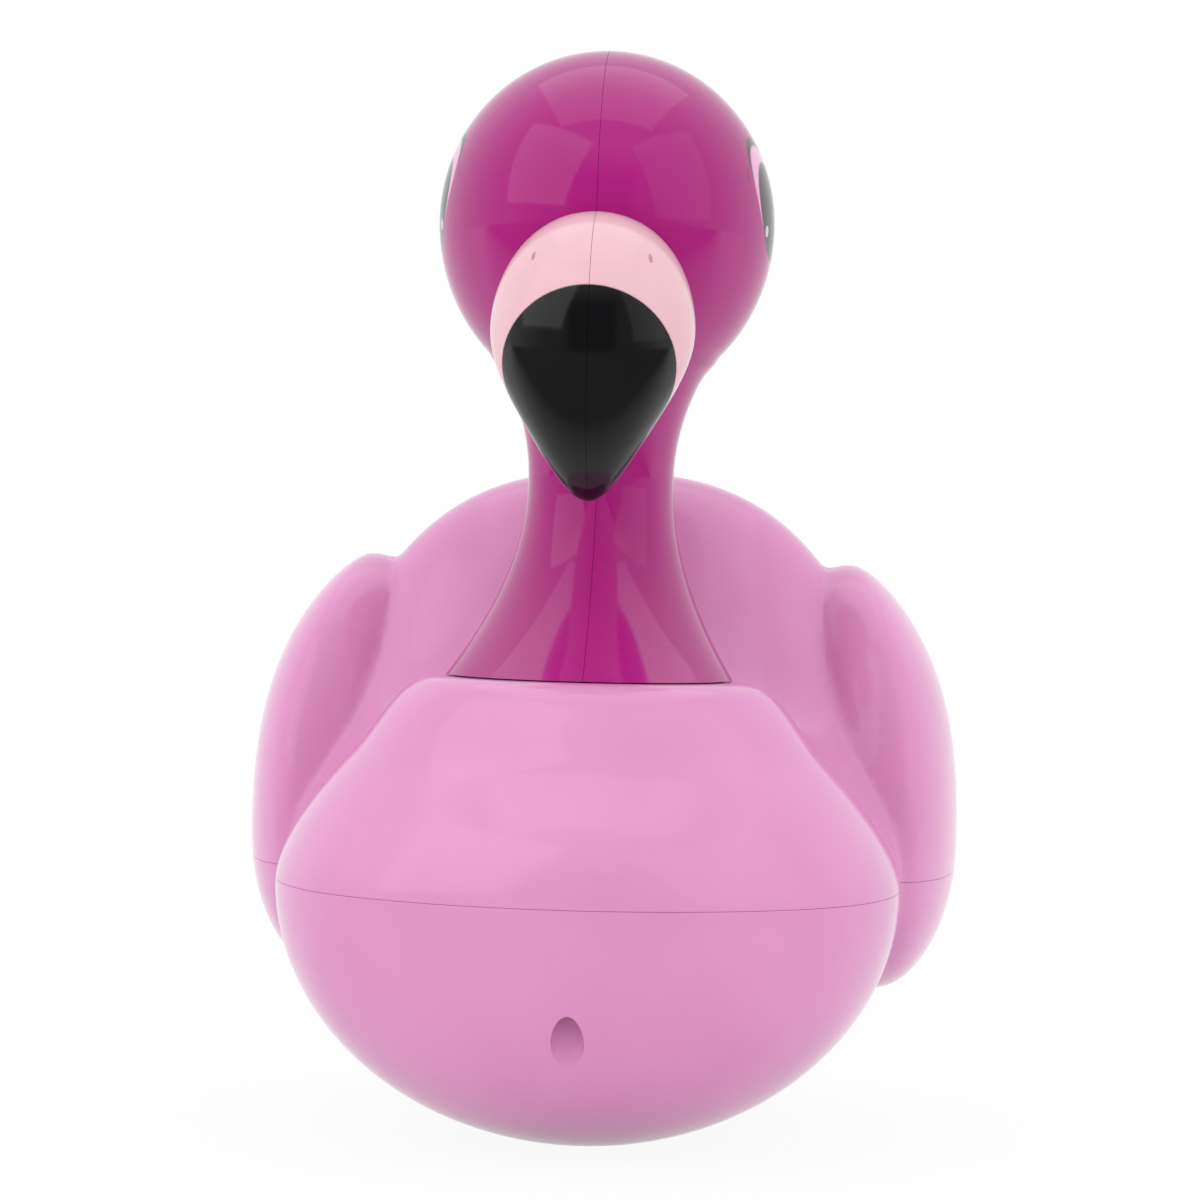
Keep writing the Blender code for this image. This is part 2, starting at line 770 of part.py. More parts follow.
def tip_space():
    """A box in front of the edge between the pale and the black beak."""
    top = Vector((0.0, *TIP_EDGE_TOP))
    side = Vector((0.0, *TIP_EDGE_SIDE))
    up = (top - side).normalized()
    forward = Vector((0.0, up.z, -up.y))
    if forward.y > 0:
        forward = -forward
    reach = 0.1
    block = box((-reach, 0.0, -reach), (reach, reach, reach), "tip_space")
    frame = Matrix((forward.cross(up), forward, up)).transposed().to_4x4()
    return place(block, Matrix.Translation(top) @ frame)


# Parts of the head


def build_head():
    shell = head_shell()
    cut(shell, beak_form(BEAK_PLUG_INSET - GAP))
    for x in (-NECK_SCREW_X, NECK_SCREW_X):
        top = NECK_SEAT_Z + PILOT_RADIUS
        start, end = (x, NECK_SEAT_Y, top - PAST), (x, NECK_SEAT_Y, top + GAP)
        cut(shell, rod(start, end, PILOT_RADIUS, steps=SMALL_STEPS))
    beak = cut(beak_form(0.0), head_solid(GAP))
    plug = keep_inside(beak_form(BEAK_PLUG_INSET), head_solid(3 * GAP))
    cut(plug, head_solid(-BEAK_PLUG_DEPTH))
    join(beak, plug)
    cut(beak, beak_form(BEAK_WALL, COARSE_BEAK))
    band = cut(copy_of(beak), tip_space())
    front = tip_space()
    front.data.transform(Matrix.Translation((0.0, -GAP, -GAP / 2)))
    tip = keep_inside(beak, front)
    for name, side in (("left", 1), ("right", -1)):
        finish_part(cut(copy_of(shell), half_space(side)), "head_" + name, "magenta_plastic")
        finish_part(cut(copy_of(band), half_space(side)), "beak_band_" + name, "pale_pink_plastic")
        finish_part(cut(copy_of(tip), half_space(side)), "beak_tip_" + name, "black_plastic")


def build_neck_fixings():
    """A plate under the hull's top clamps the neck's foot, held by two screws."""
    foot_ratio = NECK_SEAT_HALF_DEPTH / NECK_SEAT_HALF_WIDTH
    top = RETAINER_TOP_Z
    squash = Matrix.Translation((0.0, NECK_SEAT_Y, 0.0)) @ Matrix.Diagonal((1.0, foot_ratio, 1.0, 1.0))
    under = top - RETAINER_THICKNESS
    ring = place(rod((0.0, 0.0, under), (0.0, 0.0, top), RETAINER_RADIUS, steps=HEAD_STEPS), squash)
    bore = rod((0.0, 0.0, top - PAST), (0.0, 0.0, top + PAST), RETAINER_BORE, steps=HEAD_STEPS)
    cut(ring, place(bore, squash))
    for name, x in (("left", NECK_SCREW_X), ("right", -NECK_SCREW_X)):
        start, end = (x, NECK_SEAT_Y, top - PAST), (x, NECK_SEAT_Y, top + PAST)
        cut(ring, rod(start, end, PILOT_RADIUS + GAP, steps=SMALL_STEPS))
        screw("neck_screw_" + name, x, NECK_SEAT_Y, under - GAP, NECK_SCREW_LENGTH)
    finish_part(ring, "neck_retainer", "white_plastic")


# Screws


def screw(name, x, y, seat_z, length, down=False):
    """A pan head screw; its head lies under the seat, or over it when it points down."""
    head = SCREW_HEAD_HEIGHT
    profile = (
        (0.0, length),
        (SCREW_SHANK_RADIUS, length - SCREW_POINT),
        (SCREW_SHANK_RADIUS, 0.0),
        (SCREW_HEAD_RADIUS, 0.0),
        (SCREW_HEAD_RADIUS, -0.55 * head),
        (0.7 * SCREW_HEAD_RADIUS, -head),
        (0.0, -head),
    )
    turn = Matrix.Rotation(math.pi, 4, "X") if down else Matrix.Identity(4)
    item = place(turned(profile, SMALL_STEPS), Matrix.Translation((x, y, seat_z)) @ turn)
    return finish_part(item, name, "steel")


# Hull


def build_hull():
    """Both hull mouldings: the outer form less a cavity that leaves walls, columns and seats standing."""
    outer = hull_solid(0.0, FINE_HULL, FINE_WING)
    join(outer, formed_sphere(*TAIL_FACETS, tail_point))
    skin = copy_of(outer)
    join(outer, *[fairing(side) for side in (1, -1)])
    cut(outer, place(head_solid(GAP), Matrix.Translation((0.0, 0.0, -0.5 * GAP))))
    ratio = NECK_SEAT_HALF_DEPTH / NECK_SEAT_HALF_WIDTH
    squash = Matrix.Translation((0.0, NECK_SEAT_Y, 0.0)) @ Matrix.Diagonal((1.0, ratio, 1.0, 1.0))
    reach = 2 * HULL_HALF_LENGTH
    columns = []
    for x, y in HULL_SCREWS.values():
        columns.append(rod((x, y, -PAST), (x, y, SEAM_Z + PAST), SCREW_COLUMN_RADIUS, steps=SMALL_STEPS))
    rebate = hull_solid(REBATE_DEPTH, COARSE_HULL, COARSE_WING)
    keep_inside(rebate, box((-reach, -reach, SEAM_Z - REBATE_HALF_HEIGHT),
                            (reach, reach, SEAM_Z + REBATE_HALF_HEIGHT)))
    cut(rebate, *columns)

    upper = cut(copy_of(outer), box((-reach, -reach, -reach), (reach, reach, SEAM_Z + GAP / 2)))
    cut(upper, upper_cavity(), rebate)
    foot = Vector((0.0, 0.0, NECK_SEAT_Z))
    past = Vector((0.0, 0.0, PAST))
    hole = rod(foot - 2 * past, foot + past, SPIGOT_RADIUS + 4 * GAP, steps=HEAD_STEPS)
    plate_top = Vector((0.0, 0.0, RETAINER_TOP_Z + GAP))
    pocket = rod(plate_top - past, plate_top, RETAINER_RADIUS + 2 * GAP, steps=HEAD_STEPS)
    cut(upper, place(hole, squash), place(pocket, squash))
    for x, y in HULL_SCREWS.values():
        top = SEAM_Z + HULL_SCREW_LENGTH
        cut(upper, rod((x, y, SEAM_Z - PAST), (x, y, top), PILOT_RADIUS, steps=SMALL_STEPS))
    finish_part(upper, "hull_upper", "pink_plastic")

    lower = cut(outer, box((-reach, -reach, SEAM_Z - GAP / 2), (reach, reach, reach)))
    cut(lower, lower_cavity(columns), rebate)
    cut_screw_holes(lower)
    cut_battery_well(lower)
    cut_drive_seats(lower)
    cut_small_seats(lower)
    finish_part(lower, "hull_lower", "pink_plastic")

    build_gasket(reach)
    build_battery(skin)
    build_guards()


def build_gasket(reach):
    ring = hull_solid(REBATE_DEPTH + GAP, COARSE_HULL, COARSE_WING)
    keep_inside(ring, box((-reach, -reach, SEAM_Z - GASKET_HALF_HEIGHT),
                          (reach, reach, SEAM_Z + GASKET_HALF_HEIGHT)))
    cut(ring, hull_solid(WALL + GASKET_SPARE, COARSE_HULL, COARSE_WING))
    for x, y in HULL_SCREWS.values():
        cut(ring, rod((x, y, SEAM_Z - PAST), (x, y, SEAM_Z + PAST), SCREW_COLUMN_RADIUS + GAP))
    finish_part(ring, "hull_gasket", "rubber")


def upper_cavity():
    """The hollow of the upper moulding, less its screw bosses and the ribs that tie them to the wall."""
    cavity = hull_solid(WALL, FINE_HULL, COARSE_WING, WING_SPARE)
    reach = 2 * HULL_HALF_LENGTH
    under = SEAM_Z - PAST
    top = SEAM_Z + BOSS_HEIGHT
    for x, y in HULL_SCREWS.values():
        cut(cavity, rod((x, y, under), (x, y, top), BOSS_RADIUS, steps=SMALL_STEPS))
        if x:
            ends = (x, math.copysign(reach, x))
            rib = box((min(ends), y - RIB / 2, under), (max(ends), y + RIB / 2, top - RIB))
        else:
            ends = (y, math.copysign(reach, y))
            rib = box((x - RIB / 2, min(ends), under), (x + RIB / 2, max(ends), top - RIB))
        cut(cavity, rib)
    return cavity


def lower_cavity(columns):
    """The hollow of the lower moulding, less what stands up from its floor."""
    cavity = hull_solid(WALL, COARSE_HULL, COARSE_WING)
    cut(cavity, *columns)
    cut(cavity, cover_outline(RECESS_WALL, -PAST, RECESS_TOP_Z + RECESS_WALL))
    half_width = WELL_HALF_WIDTH + WELL_WALL
    half_length = WELL_HALF_LENGTH + WELL_WALL
    cut(cavity, box((-half_width, WELL_Y - half_length, RECESS_TOP_Z),
                    (half_width, WELL_Y + half_length, WELL_TOP_Z + WELL_WALL)))
    for x in (BOARD_POST_X, -BOARD_POST_X):
        cut(cavity, rod((x, WELL_Y, WELL_TOP_Z), (x, WELL_Y, BOARD_Z - GAP), BOARD_POST_RADIUS))
    for end in (1, -1):
        y = WELL_Y + end * COVER_TAB_REACH
        top = RECESS_TOP_Z + TAB_BOSS_HEIGHT
        cut(cavity, rod((0.0, y, RECESS_TOP_Z), (0.0, y, top), BOSS_RADIUS, steps=SMALL_STEPS))
    half_x, half_y = BALLAST_SIZE[0] / 2, BALLAST_SIZE[1] / 2
    for side in (1, -1):
        low, high = clamp_span(side)
        cut(cavity, box((*low, -PAST), (*high, DRIVE_Z - GAP / 2)), fairing(side))
        x = side * BALLAST_X
        cut(cavity, box((x - half_x, BALLAST_Y - half_y, 0.0),
                        (x + half_x, BALLAST_Y + half_y, BALLAST_Z - GAP)))
    return cavity


def fairing(side):
    """The moulded sleeve that carries a stern tube out through the hull."""
    x = side * DRIVE_X
    front, rear = TUBE_FRONT_Y - FAIRING_LEAD, TUBE_REAR_Y - TUBE_SHOW
    return rod((x, front, DRIVE_Z), (x, rear, DRIVE_Z), FAIRING_RADIUS)


def cut_screw_holes(lower):
    """Deep holes that take the hull screws up from the bottom."""
    seat = SEAM_Z - GAP / 2 - SCREW_FLOOR
    for name, (x, y) in HULL_SCREWS.items():
        cut(lower, rod((x, y, -PAST), (x, y, seat), SCREW_HOLE_RADIUS))
        cut(lower, rod((x, y, 0.0), (x, y, SEAM_Z + PAST), PILOT_RADIUS + GAP, steps=SMALL_STEPS))
        screw("hull_screw_" + name, x, y, seat - GAP, HULL_SCREW_LENGTH)


def cover_outline(grow, bottom, top):
    """The battery cover's outline: a rounded rectangle with a screw tab at each end."""
    half_width = COVER_HALF_WIDTH + grow
    half_length = COVER_HALF_LENGTH + grow
    plate = rounded_plate(half_width, half_length, COVER_CORNER, bottom, top, WELL_Y)
    for end in (1, -1):
        y = WELL_Y + end * COVER_TAB_REACH
        join(plate, rod((0.0, y, bottom), (0.0, y, top), COVER_TAB_RADIUS + grow))
    return plate


def cut_battery_well(lower):
    """A compartment that opens downwards, with a level rim for the cover's seal."""
    cut(lower, cover_outline(GAP, -PAST, RECESS_TOP_Z))
    cut(lower, box((-WELL_HALF_WIDTH, WELL_Y - WELL_HALF_LENGTH, COVER_BOTTOM_Z),
                   (WELL_HALF_WIDTH, WELL_Y + WELL_HALF_LENGTH, WELL_TOP_Z)))
    floor = WELL_TOP_Z + PILOT_RADIUS
    for x in (BOARD_POST_X, -BOARD_POST_X):
        cut(lower, rod((x, WELL_Y, floor), (x, WELL_Y, BOARD_Z + PAST), PILOT_RADIUS, steps=SMALL_STEPS))
    top = RECESS_TOP_Z + TAB_BOSS_HEIGHT - WELL_WALL
    for end in (1, -1):
        y = WELL_Y + end * COVER_TAB_REACH
        cut(lower, rod((0.0, y, COVER_BOTTOM_Z), (0.0, y, top), PILOT_RADIUS, steps=SMALL_STEPS))


def motor_form(side, grow):
    x = side * DRIVE_X
    rear = MOTOR_FRONT_Y + MOTOR_LENGTH
    can = rod((x, MOTOR_FRONT_Y - grow, DRIVE_Z), (x, rear + grow, DRIVE_Z), MOTOR_RADIUS + grow, steps=16)
    half = MOTOR_HALF_HEIGHT + grow
    wide = 2 * MOTOR_RADIUS
    return keep_inside(can, box((x - wide, 0.0, DRIVE_Z - half), (x + wide, TUBE_REAR_Y, DRIVE_Z + half)))


def clamp_span(side):
    x = side * DRIVE_X
    middle = MOTOR_FRONT_Y + MOTOR_LENGTH / 2
    half_width = MOTOR_RADIUS + GAP + CLAMP_WALL
    low = (x - half_width, middle - CLAMP_LENGTH / 2)
    high = (x + half_width, middle + CLAMP_LENGTH / 2)
    return low, high


def cut_drive_seats(lower):
    """Motor seats in their cradles and the bores of the stern tubes."""
    for side in (1, -1):
        x = side * DRIVE_X
        cut(lower, motor_form(side, GAP))
        front, rear = TUBE_FRONT_Y - PAST, TUBE_REAR_Y + PAST
        cut(lower, rod((x, front, DRIVE_Z), (x, rear, DRIVE_Z), TUBE_RADIUS + GAP))
        front, rear = MOTOR_FRONT_Y + MOTOR_LENGTH / 2, TUBE_FRONT_Y - GAP
        cut(lower, rod((x, front, DRIVE_Z), (x, rear, DRIVE_Z), COUPLING_RADIUS + 2 * GAP))


def cut_small_seats(lower):
    """The switch slot in its recess, and the seats and holes of the two water contacts."""
    for side in (1, -1):
        x = side * CONTACT_X
        start = (x, CONTACT_Y, -PAST)
        cut(lower, rod(start, (x, CONTACT_Y, CONTACT_SEAT_Z), CONTACT_RADIUS + GAP))
        cut(lower, rod(start, (x, CONTACT_Y, 2 * CONTACT_TOP_Z), CONTACT_SHANK + GAP, steps=SMALL_STEPS))
    half_width = SWITCH_HALF_WIDTH + GAP
    half_length = SWITCH_HALF_LENGTH + GAP
    cut(lower, box((-half_width, SWITCH_Y - half_length, SWITCH_BOTTOM_Z - GAP),
                   (half_width, SWITCH_Y + half_length, SWITCH_BOTTOM_Z + PAST)))
    cut(lower, rounded_plate(*SWITCH_SLOT, -PAST, SWITCH_SLOT_TOP_Z, SWITCH_Y))
    cut(lower, rounded_plate(*SWITCH_RECESS, -PAST, SWITCH_RECESS_Z, SWITCH_Y))


# Battery, cover and contacts


def build_battery(outer):
    first_x = -CELL_PITCH * (CELL_COUNT - 1) / 2
    shoulder = CELL_LENGTH - CELL_NUB
    profile = (
        (0.0, CELL_LENGTH),
        (CELL_NUB_RADIUS, CELL_LENGTH),
        (CELL_NUB_RADIUS, shoulder),
        (CELL_RADIUS - CELL_EDGE, shoulder),
        (CELL_RADIUS, shoulder - CELL_EDGE),
        (CELL_RADIUS, CELL_EDGE),
        (CELL_RADIUS - CELL_EDGE, 0.0),
        (0.0, 0.0),
    )
    for index in range(CELL_COUNT):
        x = first_x + index * CELL_PITCH
        front = WELL_Y - CELL_LENGTH / 2
        facing = 1 if index % 2 == 0 else -1
        turn = Matrix.Rotation(math.radians(90) * facing, 4, "X")
        start = front + CELL_LENGTH if facing == 1 else front
        cell = place(turned(profile), Matrix.Translation((x, start, CELL_Z)) @ turn)
        finish_part(cell, "battery_cell_%d" % (index + 1), "cell_wrap")
    for name, end in (("front", -1), ("rear", 1)):
        face = WELL_Y + end * (WELL_HALF_LENGTH - GAP)
        back = face - end * PLATE_THICKNESS
        plate = box((-PLATE_HALF_WIDTH, min(face, back), CELL_Z - PLATE_HALF_HEIGHT),
                    (PLATE_HALF_WIDTH, max(face, back), CELL_Z + PLATE_HALF_HEIGHT))
        for index in range(CELL_COUNT):
            x = first_x + index * CELL_PITCH
            start = face - end * PLATE_THICKNESS / 2
            stop = WELL_Y + end * (CELL_LENGTH / 2 + GAP)
            join(plate, rod((x, start, CELL_Z), (x, stop, CELL_Z), SPRING_RADIUS, 0.6 * SPRING_RADIUS))
        finish_part(plate, "battery_contact_" + name, "steel")
    cover = keep_inside(cover_outline(0.0, COVER_BOTTOM_Z, COVER_TOP_Z), outer)
    cut(cover, rounded_plate(*COVER_HOLLOW, COVER_HOLLOW_Z, COVER_TOP_Z + PAST, WELL_Y))
    for name, end in (("front", -1), ("rear", 1)):
        y = WELL_Y + end * COVER_TAB_REACH
        start = (0.0, y, -PAST)
        cut(cover, rod(start, (0.0, y, COVER_SCREW_Z), SCREW_HEAD_RADIUS + 2 * GAP))
        cut(cover, rod(start, (0.0, y, PAST), PILOT_RADIUS + GAP, steps=SMALL_STEPS))
        screw("cover_screw_" + name, 0.0, y, COVER_SCREW_Z - GAP, COVER_SCREW_LENGTH)
    finish_part(cover, "battery_cover", "pink_plastic", COVER_TRAVEL_ORIGIN)
    seal = rounded_plate(COVER_HALF_WIDTH - GAP, COVER_HALF_LENGTH - GAP, COVER_CORNER,
                         COVER_TOP_Z + GAP, RECESS_TOP_Z - GAP, WELL_Y)
    half_width, half_length = WELL_HALF_WIDTH + GAP, WELL_HALF_LENGTH + GAP
    cut(seal, rounded_plate(half_width, half_length, COVER_CORNER / 2, 0.0, WELL_TOP_Z, WELL_Y))
    finish_part(seal, "battery_gasket", "rubber")


# Drive


def build_drive(side, name):
    x = side * DRIVE_X
    axis = (x, 0.0, DRIVE_Z)
    rear = MOTOR_FRONT_Y + MOTOR_LENGTH
    motor = motor_form(side, 0.0)
    join(motor, rod((x, rear - SINK, DRIVE_Z), (x, rear + REAR_BEARING, DRIVE_Z), BEARING_RADIUS))
    front = MOTOR_FRONT_Y - FRONT_BEARING
    join(motor, rod((x, front, DRIVE_Z), (x, MOTOR_FRONT_Y + SINK, DRIVE_Z), BEARING_RADIUS))
    low_z = DRIVE_Z + TERMINAL_Z
    for offset in (-TERMINAL_X, TERMINAL_X):
        join(motor, box((x + offset - TERMINAL_HALF_WIDTH, MOTOR_FRONT_Y - TERMINAL_LENGTH, low_z),
                        (x + offset + TERMINAL_HALF_WIDTH, MOTOR_FRONT_Y + SINK,
                         low_z + TERMINAL_THICKNESS)))
    cut(motor, rod((x, rear - MOTOR_BORE, DRIVE_Z), (x, rear + PAST, DRIVE_Z), SHAFT_RADIUS + GAP))
    finish_part(motor, "motor_" + name, "steel")
    low, high = clamp_span(side)
    top = DRIVE_Z + MOTOR_HALF_HEIGHT + CLAMP_WALL
    clamp = box((*low, DRIVE_Z + GAP / 2), (*high, top))
    cut(clamp, motor_form(side, GAP))
    finish_part(clamp, "motor_clamp_" + name, "white_plastic")
    motor_end = rear + MOTOR_SHAFT_SHOW
    shaft = rod((x, rear - MOTOR_BORE + SINK, DRIVE_Z), (x, motor_end, DRIVE_Z), SHAFT_RADIUS)
    finish_part(shaft, "motor_shaft_" + name, "steel", axis)
    coupling = rod((x, rear + COUPLING_START, DRIVE_Z), (x, TUBE_FRONT_Y - 2 * GAP, DRIVE_Z), COUPLING_RADIUS)
    cut(coupling, rod((x, 0.0, DRIVE_Z), (x, STERN_Y, DRIVE_Z), SHAFT_RADIUS + GAP))
    finish_part(coupling, "shaft_coupling_" + name, "rubber", axis)
    prop_end = PROP_FRONT_Y + 0.7 * PROP_LENGTH
    long_shaft = rod((x, motor_end + GAP, DRIVE_Z), (x, prop_end, DRIVE_Z), SHAFT_RADIUS)
    finish_part(long_shaft, "propeller_shaft_" + name, "steel", axis)
    tube = rod((x, TUBE_FRONT_Y, DRIVE_Z), (x, TUBE_REAR_Y, DRIVE_Z), TUBE_RADIUS)
    cut(tube, rod((x, 0.0, DRIVE_Z), (x, STERN_Y, DRIVE_Z), SHAFT_RADIUS + GAP))
    finish_part(tube, "stern_tube_" + name, "brass")
    finish_part(build_propeller(side), "propeller_" + name, "white_plastic", axis)


def blade_point(across, along, side):
    """A point on a propeller blade: across runs over its chord, along from hub to tip."""
    radius = BLADE_ROOT + (PROP_RADIUS - BLADE_ROOT) * along
    twist = math.radians(ROOT_PITCH + (TIP_PITCH - ROOT_PITCH) * along) * side
    chord = BLADE_CHORD * (0.75 + 0.55 * along) * math.sqrt(max(0.04, 1 - 0.9 * along ** 4))
    reach = across * chord
    swing = reach * math.cos(twist) / radius
    return Vector((radius * math.sin(swing), reach * math.sin(twist), radius * math.cos(swing)))


def build_propeller(side):
    hub = turned((
        (0.0, 0.0),
        (0.9 * HUB_RADIUS, 0.0),
        (HUB_RADIUS, -0.3 * PROP_LENGTH),
        (0.9 * HUB_RADIUS, -0.75 * PROP_LENGTH),
        (0.5 * HUB_RADIUS, -0.97 * PROP_LENGTH),
        (0.0, -PROP_LENGTH),
    ))
    place(hub, along_y(0.0, 0.0))
    place(hub, Matrix.Translation((0.0, PROP_FRONT_Y, 0.0)))
    middle = PROP_FRONT_Y + 0.5 * PROP_LENGTH
    for index in range(BLADE_COUNT):
        bm = bmesh.new()
        bmesh.ops.create_grid(bm, x_segments=3, y_segments=3, size=0.5)
        for vert in bm.verts:
            vert.co = blade_point(vert.co.x, vert.co.y + 0.5, side)
        turn = Matrix.Rotation(2 * math.pi * index / BLADE_COUNT, 4, "Y")
        bmesh.ops.transform(bm, matrix=Matrix.Translation((0.0, middle, 0.0)) @ turn, verts=bm.verts)
        blade = tool("blade", bm)
        wall = blade.modifiers.new("wall", "SOLIDIFY")
        wall.thickness = BLADE_THICKNESS
        wall.offset = 0.0
        join(hub, settle(blade))
    cut(hub, rod((0.0, 0.0, 0.0), (0.0, PROP_FRONT_Y + 0.75 * PROP_LENGTH, 0.0), SHAFT_RADIUS + GAP))
    return place(hub, Matrix.Translation((side * DRIVE_X, 0.0, DRIVE_Z)))


def build_guards():
    """A ring round each propeller with three bars behind it, shaped to the hull where they meet."""
    for name, side in (("left", 1), ("right", -1)):
        x = side * DRIVE_X
        front, rear = (x, GUARD_FRONT_Y, DRIVE_Z), (x, GUARD_REAR_Y, DRIVE_Z)
        ring = rod(front, rear, GUARD_BORE + GUARD_WALL, steps=GUARD_STEPS)
        cut(ring, rod((x, 0.0, DRIVE_Z), (x, 2 * GUARD_REAR_Y, DRIVE_Z), GUARD_BORE, steps=GUARD_STEPS))
        hub_rear = GUARD_REAR_Y - GAP
        hub_front = hub_rear - GUARD_HUB_LENGTH
        join(ring, rod((x, hub_front, DRIVE_Z), (x, hub_rear, DRIVE_Z), HUB_RADIUS))
        for index in range(GUARD_BAR_COUNT):
            angle = math.radians(90) + 2 * math.pi * index / GUARD_BAR_COUNT
            reach = GUARD_BORE + 0.5 * GUARD_WALL
            end = (x + reach * math.cos(angle), DRIVE_Z + reach * math.sin(angle))
            y = (hub_front + hub_rear) / 2
            join(ring, rod((x, y, DRIVE_Z), (end[0], y, end[1]), GUARD_BAR_RADIUS, steps=SMALL_STEPS))
        post = box((x - GUARD_POST_HALF, GUARD_FRONT_Y, DRIVE_Z + GUARD_BORE + 2 * GAP),
                   (x + GUARD_POST_HALF, GUARD_FRONT_Y + GUARD_POST_LENGTH, SEAM_Z - GUARD_POST_LENGTH))
        join(ring, post)
        swollen = formed_sphere(*FINE_HULL, lambda share, c, s: hull_point(share, c, s, -GAP))
        finish_part(cut(ring, swollen), "propeller_guard_" + name, "grey_plastic")


# Switch, contacts, board, wires and ballast


def build_switch():
    bottom = SWITCH_BOTTOM_Z
    body = box((-SWITCH_HALF_WIDTH, SWITCH_Y - SWITCH_HALF_LENGTH, bottom),
               (SWITCH_HALF_WIDTH, SWITCH_Y + SWITCH_HALF_LENGTH, bottom + SWITCH_HEIGHT))
    wide, long, deep = SWITCH_HOLLOW
    cut(body, box((-wide, SWITCH_Y - long, 0.0), (wide, SWITCH_Y + long, bottom + deep)))
    finish_part(body, "switch_body", "steel")
    middle = -SWITCH_TRAVEL / 2
    wide, long = KNOB_HALF
    knob = box((middle - wide, SWITCH_Y - long, KNOB_BOTTOM_Z),
               (middle + wide, SWITCH_Y + long, bottom + KNOB_RISE))
    soften = knob.modifiers.new("soften", "BEVEL")
    soften.width = KNOB_EDGE
    soften.segments = 1
    settle(knob)
    finish_part(knob, "switch_knob", "black_plastic", (middle, SWITCH_Y, 0.0))


def build_contacts():
    for name, side in (("left", 1), ("right", -1)):
        x = side * CONTACT_X
        rivet = turned((
            (0.0, CONTACT_TOP_Z),
            (CONTACT_SHANK, CONTACT_TOP_Z),
            (CONTACT_SHANK, CONTACT_SEAT_Z - GAP),
            (CONTACT_RADIUS, CONTACT_SEAT_Z - GAP),
            (CONTACT_RADIUS - GAP, GAP),
            (0.0, GAP),
        ))
        finish_part(place(rivet, Matrix.Translation((x, CONTACT_Y, 0.0))), "water_contact_" + name, "steel")


def build_board():
    top = BOARD_Z + BOARD_THICKNESS
    low = (-BOARD_HALF_WIDTH, WELL_Y - BOARD_HALF_LENGTH)
    high = (BOARD_HALF_WIDTH, WELL_Y + BOARD_HALF_LENGTH)
    board = box((*low, BOARD_Z), (*high, top))
    for x, y, width, length, height in BOARD_BLOCKS:
        y += WELL_Y
        join(board, box((x - width / 2, y - length / 2, top - GAP),
                        (x + width / 2, y + length / 2, top + height)))
    x, y, radius, height = CAPACITOR
    y += WELL_Y
    join(board, rod((x, y, top - GAP), (x, y, top + height), radius))
    for name, x in (("left", BOARD_POST_X), ("right", -BOARD_POST_X)):
        start, end = (x, WELL_Y, 0.0), (x, WELL_Y, top + PAST)
        cut(board, rod(start, end, PILOT_RADIUS + GAP, steps=SMALL_STEPS))
        screw("board_screw_" + name, x, WELL_Y, top + GAP, BOARD_SCREW_LENGTH, down=True)
    finish_part(board, "receiver_board", "board_green")
    rise = top + GAP + WIRE_RADIUS
    for name, side in (("left", 1), ("right", -1)):
        x = side * DRIVE_X
        terminal_top = DRIVE_Z + TERMINAL_Z + TERMINAL_THICKNESS
        lead = wire((
            (side * LEAD_START[0], WELL_Y + LEAD_START[1], rise),
            (side * LEAD_BEND[0], WELL_Y + LEAD_BEND[1], rise + LEAD_BEND[2]),
            (x - side * LEAD_DROP[0], MOTOR_FRONT_Y - LEAD_DROP[1], DRIVE_Z + LEAD_DROP[2]),
            (x + side * TERMINAL_X, MOTOR_FRONT_Y - LEAD_END_Y, terminal_top + GAP + WIRE_RADIUS),
        ), WIRE_RADIUS)
        finish_part(lead, "motor_lead_" + name, "red_wire")
    start = (AERIAL_START[0], WELL_Y + AERIAL_START[1], rise)
    aerial = wire((start, *AERIAL_POINTS), WIRE_RADIUS)
    finish_part(aerial, "aerial_wire", "rubber")


def build_ballast():
    for name, side in (("left", 1), ("right", -1)):
        centre = Vector((side * BALLAST_X, BALLAST_Y, BALLAST_Z + BALLAST_SIZE[2] / 2))
        half = Vector(BALLAST_SIZE) / 2
        finish_part(box(centre - half, centre + half), "ballast_bar_" + name, "steel")


build_hull()
build_head()
build_neck_fixings()
for drive_name, drive_side in (("left", 1), ("right", -1)):
    build_drive(drive_side, drive_name)
build_switch()
build_contacts()
build_board()
build_ballast()
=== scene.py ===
# Flamingo water toy: the looks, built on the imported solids
# Metres, Z up; the bird looks along -Y and its own left side is +X

import json
import math

import bmesh
import bpy
import numpy as np
from mathutils import Matrix, Vector


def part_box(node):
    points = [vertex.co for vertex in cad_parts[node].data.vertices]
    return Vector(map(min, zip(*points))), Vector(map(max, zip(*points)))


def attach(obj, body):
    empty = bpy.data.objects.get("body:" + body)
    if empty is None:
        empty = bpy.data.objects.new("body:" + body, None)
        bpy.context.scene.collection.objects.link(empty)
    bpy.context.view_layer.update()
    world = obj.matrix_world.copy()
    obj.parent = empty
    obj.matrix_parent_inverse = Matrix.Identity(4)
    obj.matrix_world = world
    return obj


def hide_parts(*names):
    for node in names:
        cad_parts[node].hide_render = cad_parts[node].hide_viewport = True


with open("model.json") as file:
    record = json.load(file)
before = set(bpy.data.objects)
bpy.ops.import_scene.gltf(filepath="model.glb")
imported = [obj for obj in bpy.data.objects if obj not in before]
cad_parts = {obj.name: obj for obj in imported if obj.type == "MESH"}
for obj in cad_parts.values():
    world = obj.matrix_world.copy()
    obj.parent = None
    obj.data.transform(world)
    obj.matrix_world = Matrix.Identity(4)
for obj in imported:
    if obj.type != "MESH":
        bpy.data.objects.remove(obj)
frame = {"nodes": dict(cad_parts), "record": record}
scene = bpy.context.scene
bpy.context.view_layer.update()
nodes = frame["nodes"]
gap = 0.0003    # play between neighbouring pieces
past = 0.01     # how far a cutter runs on past the surface it opens
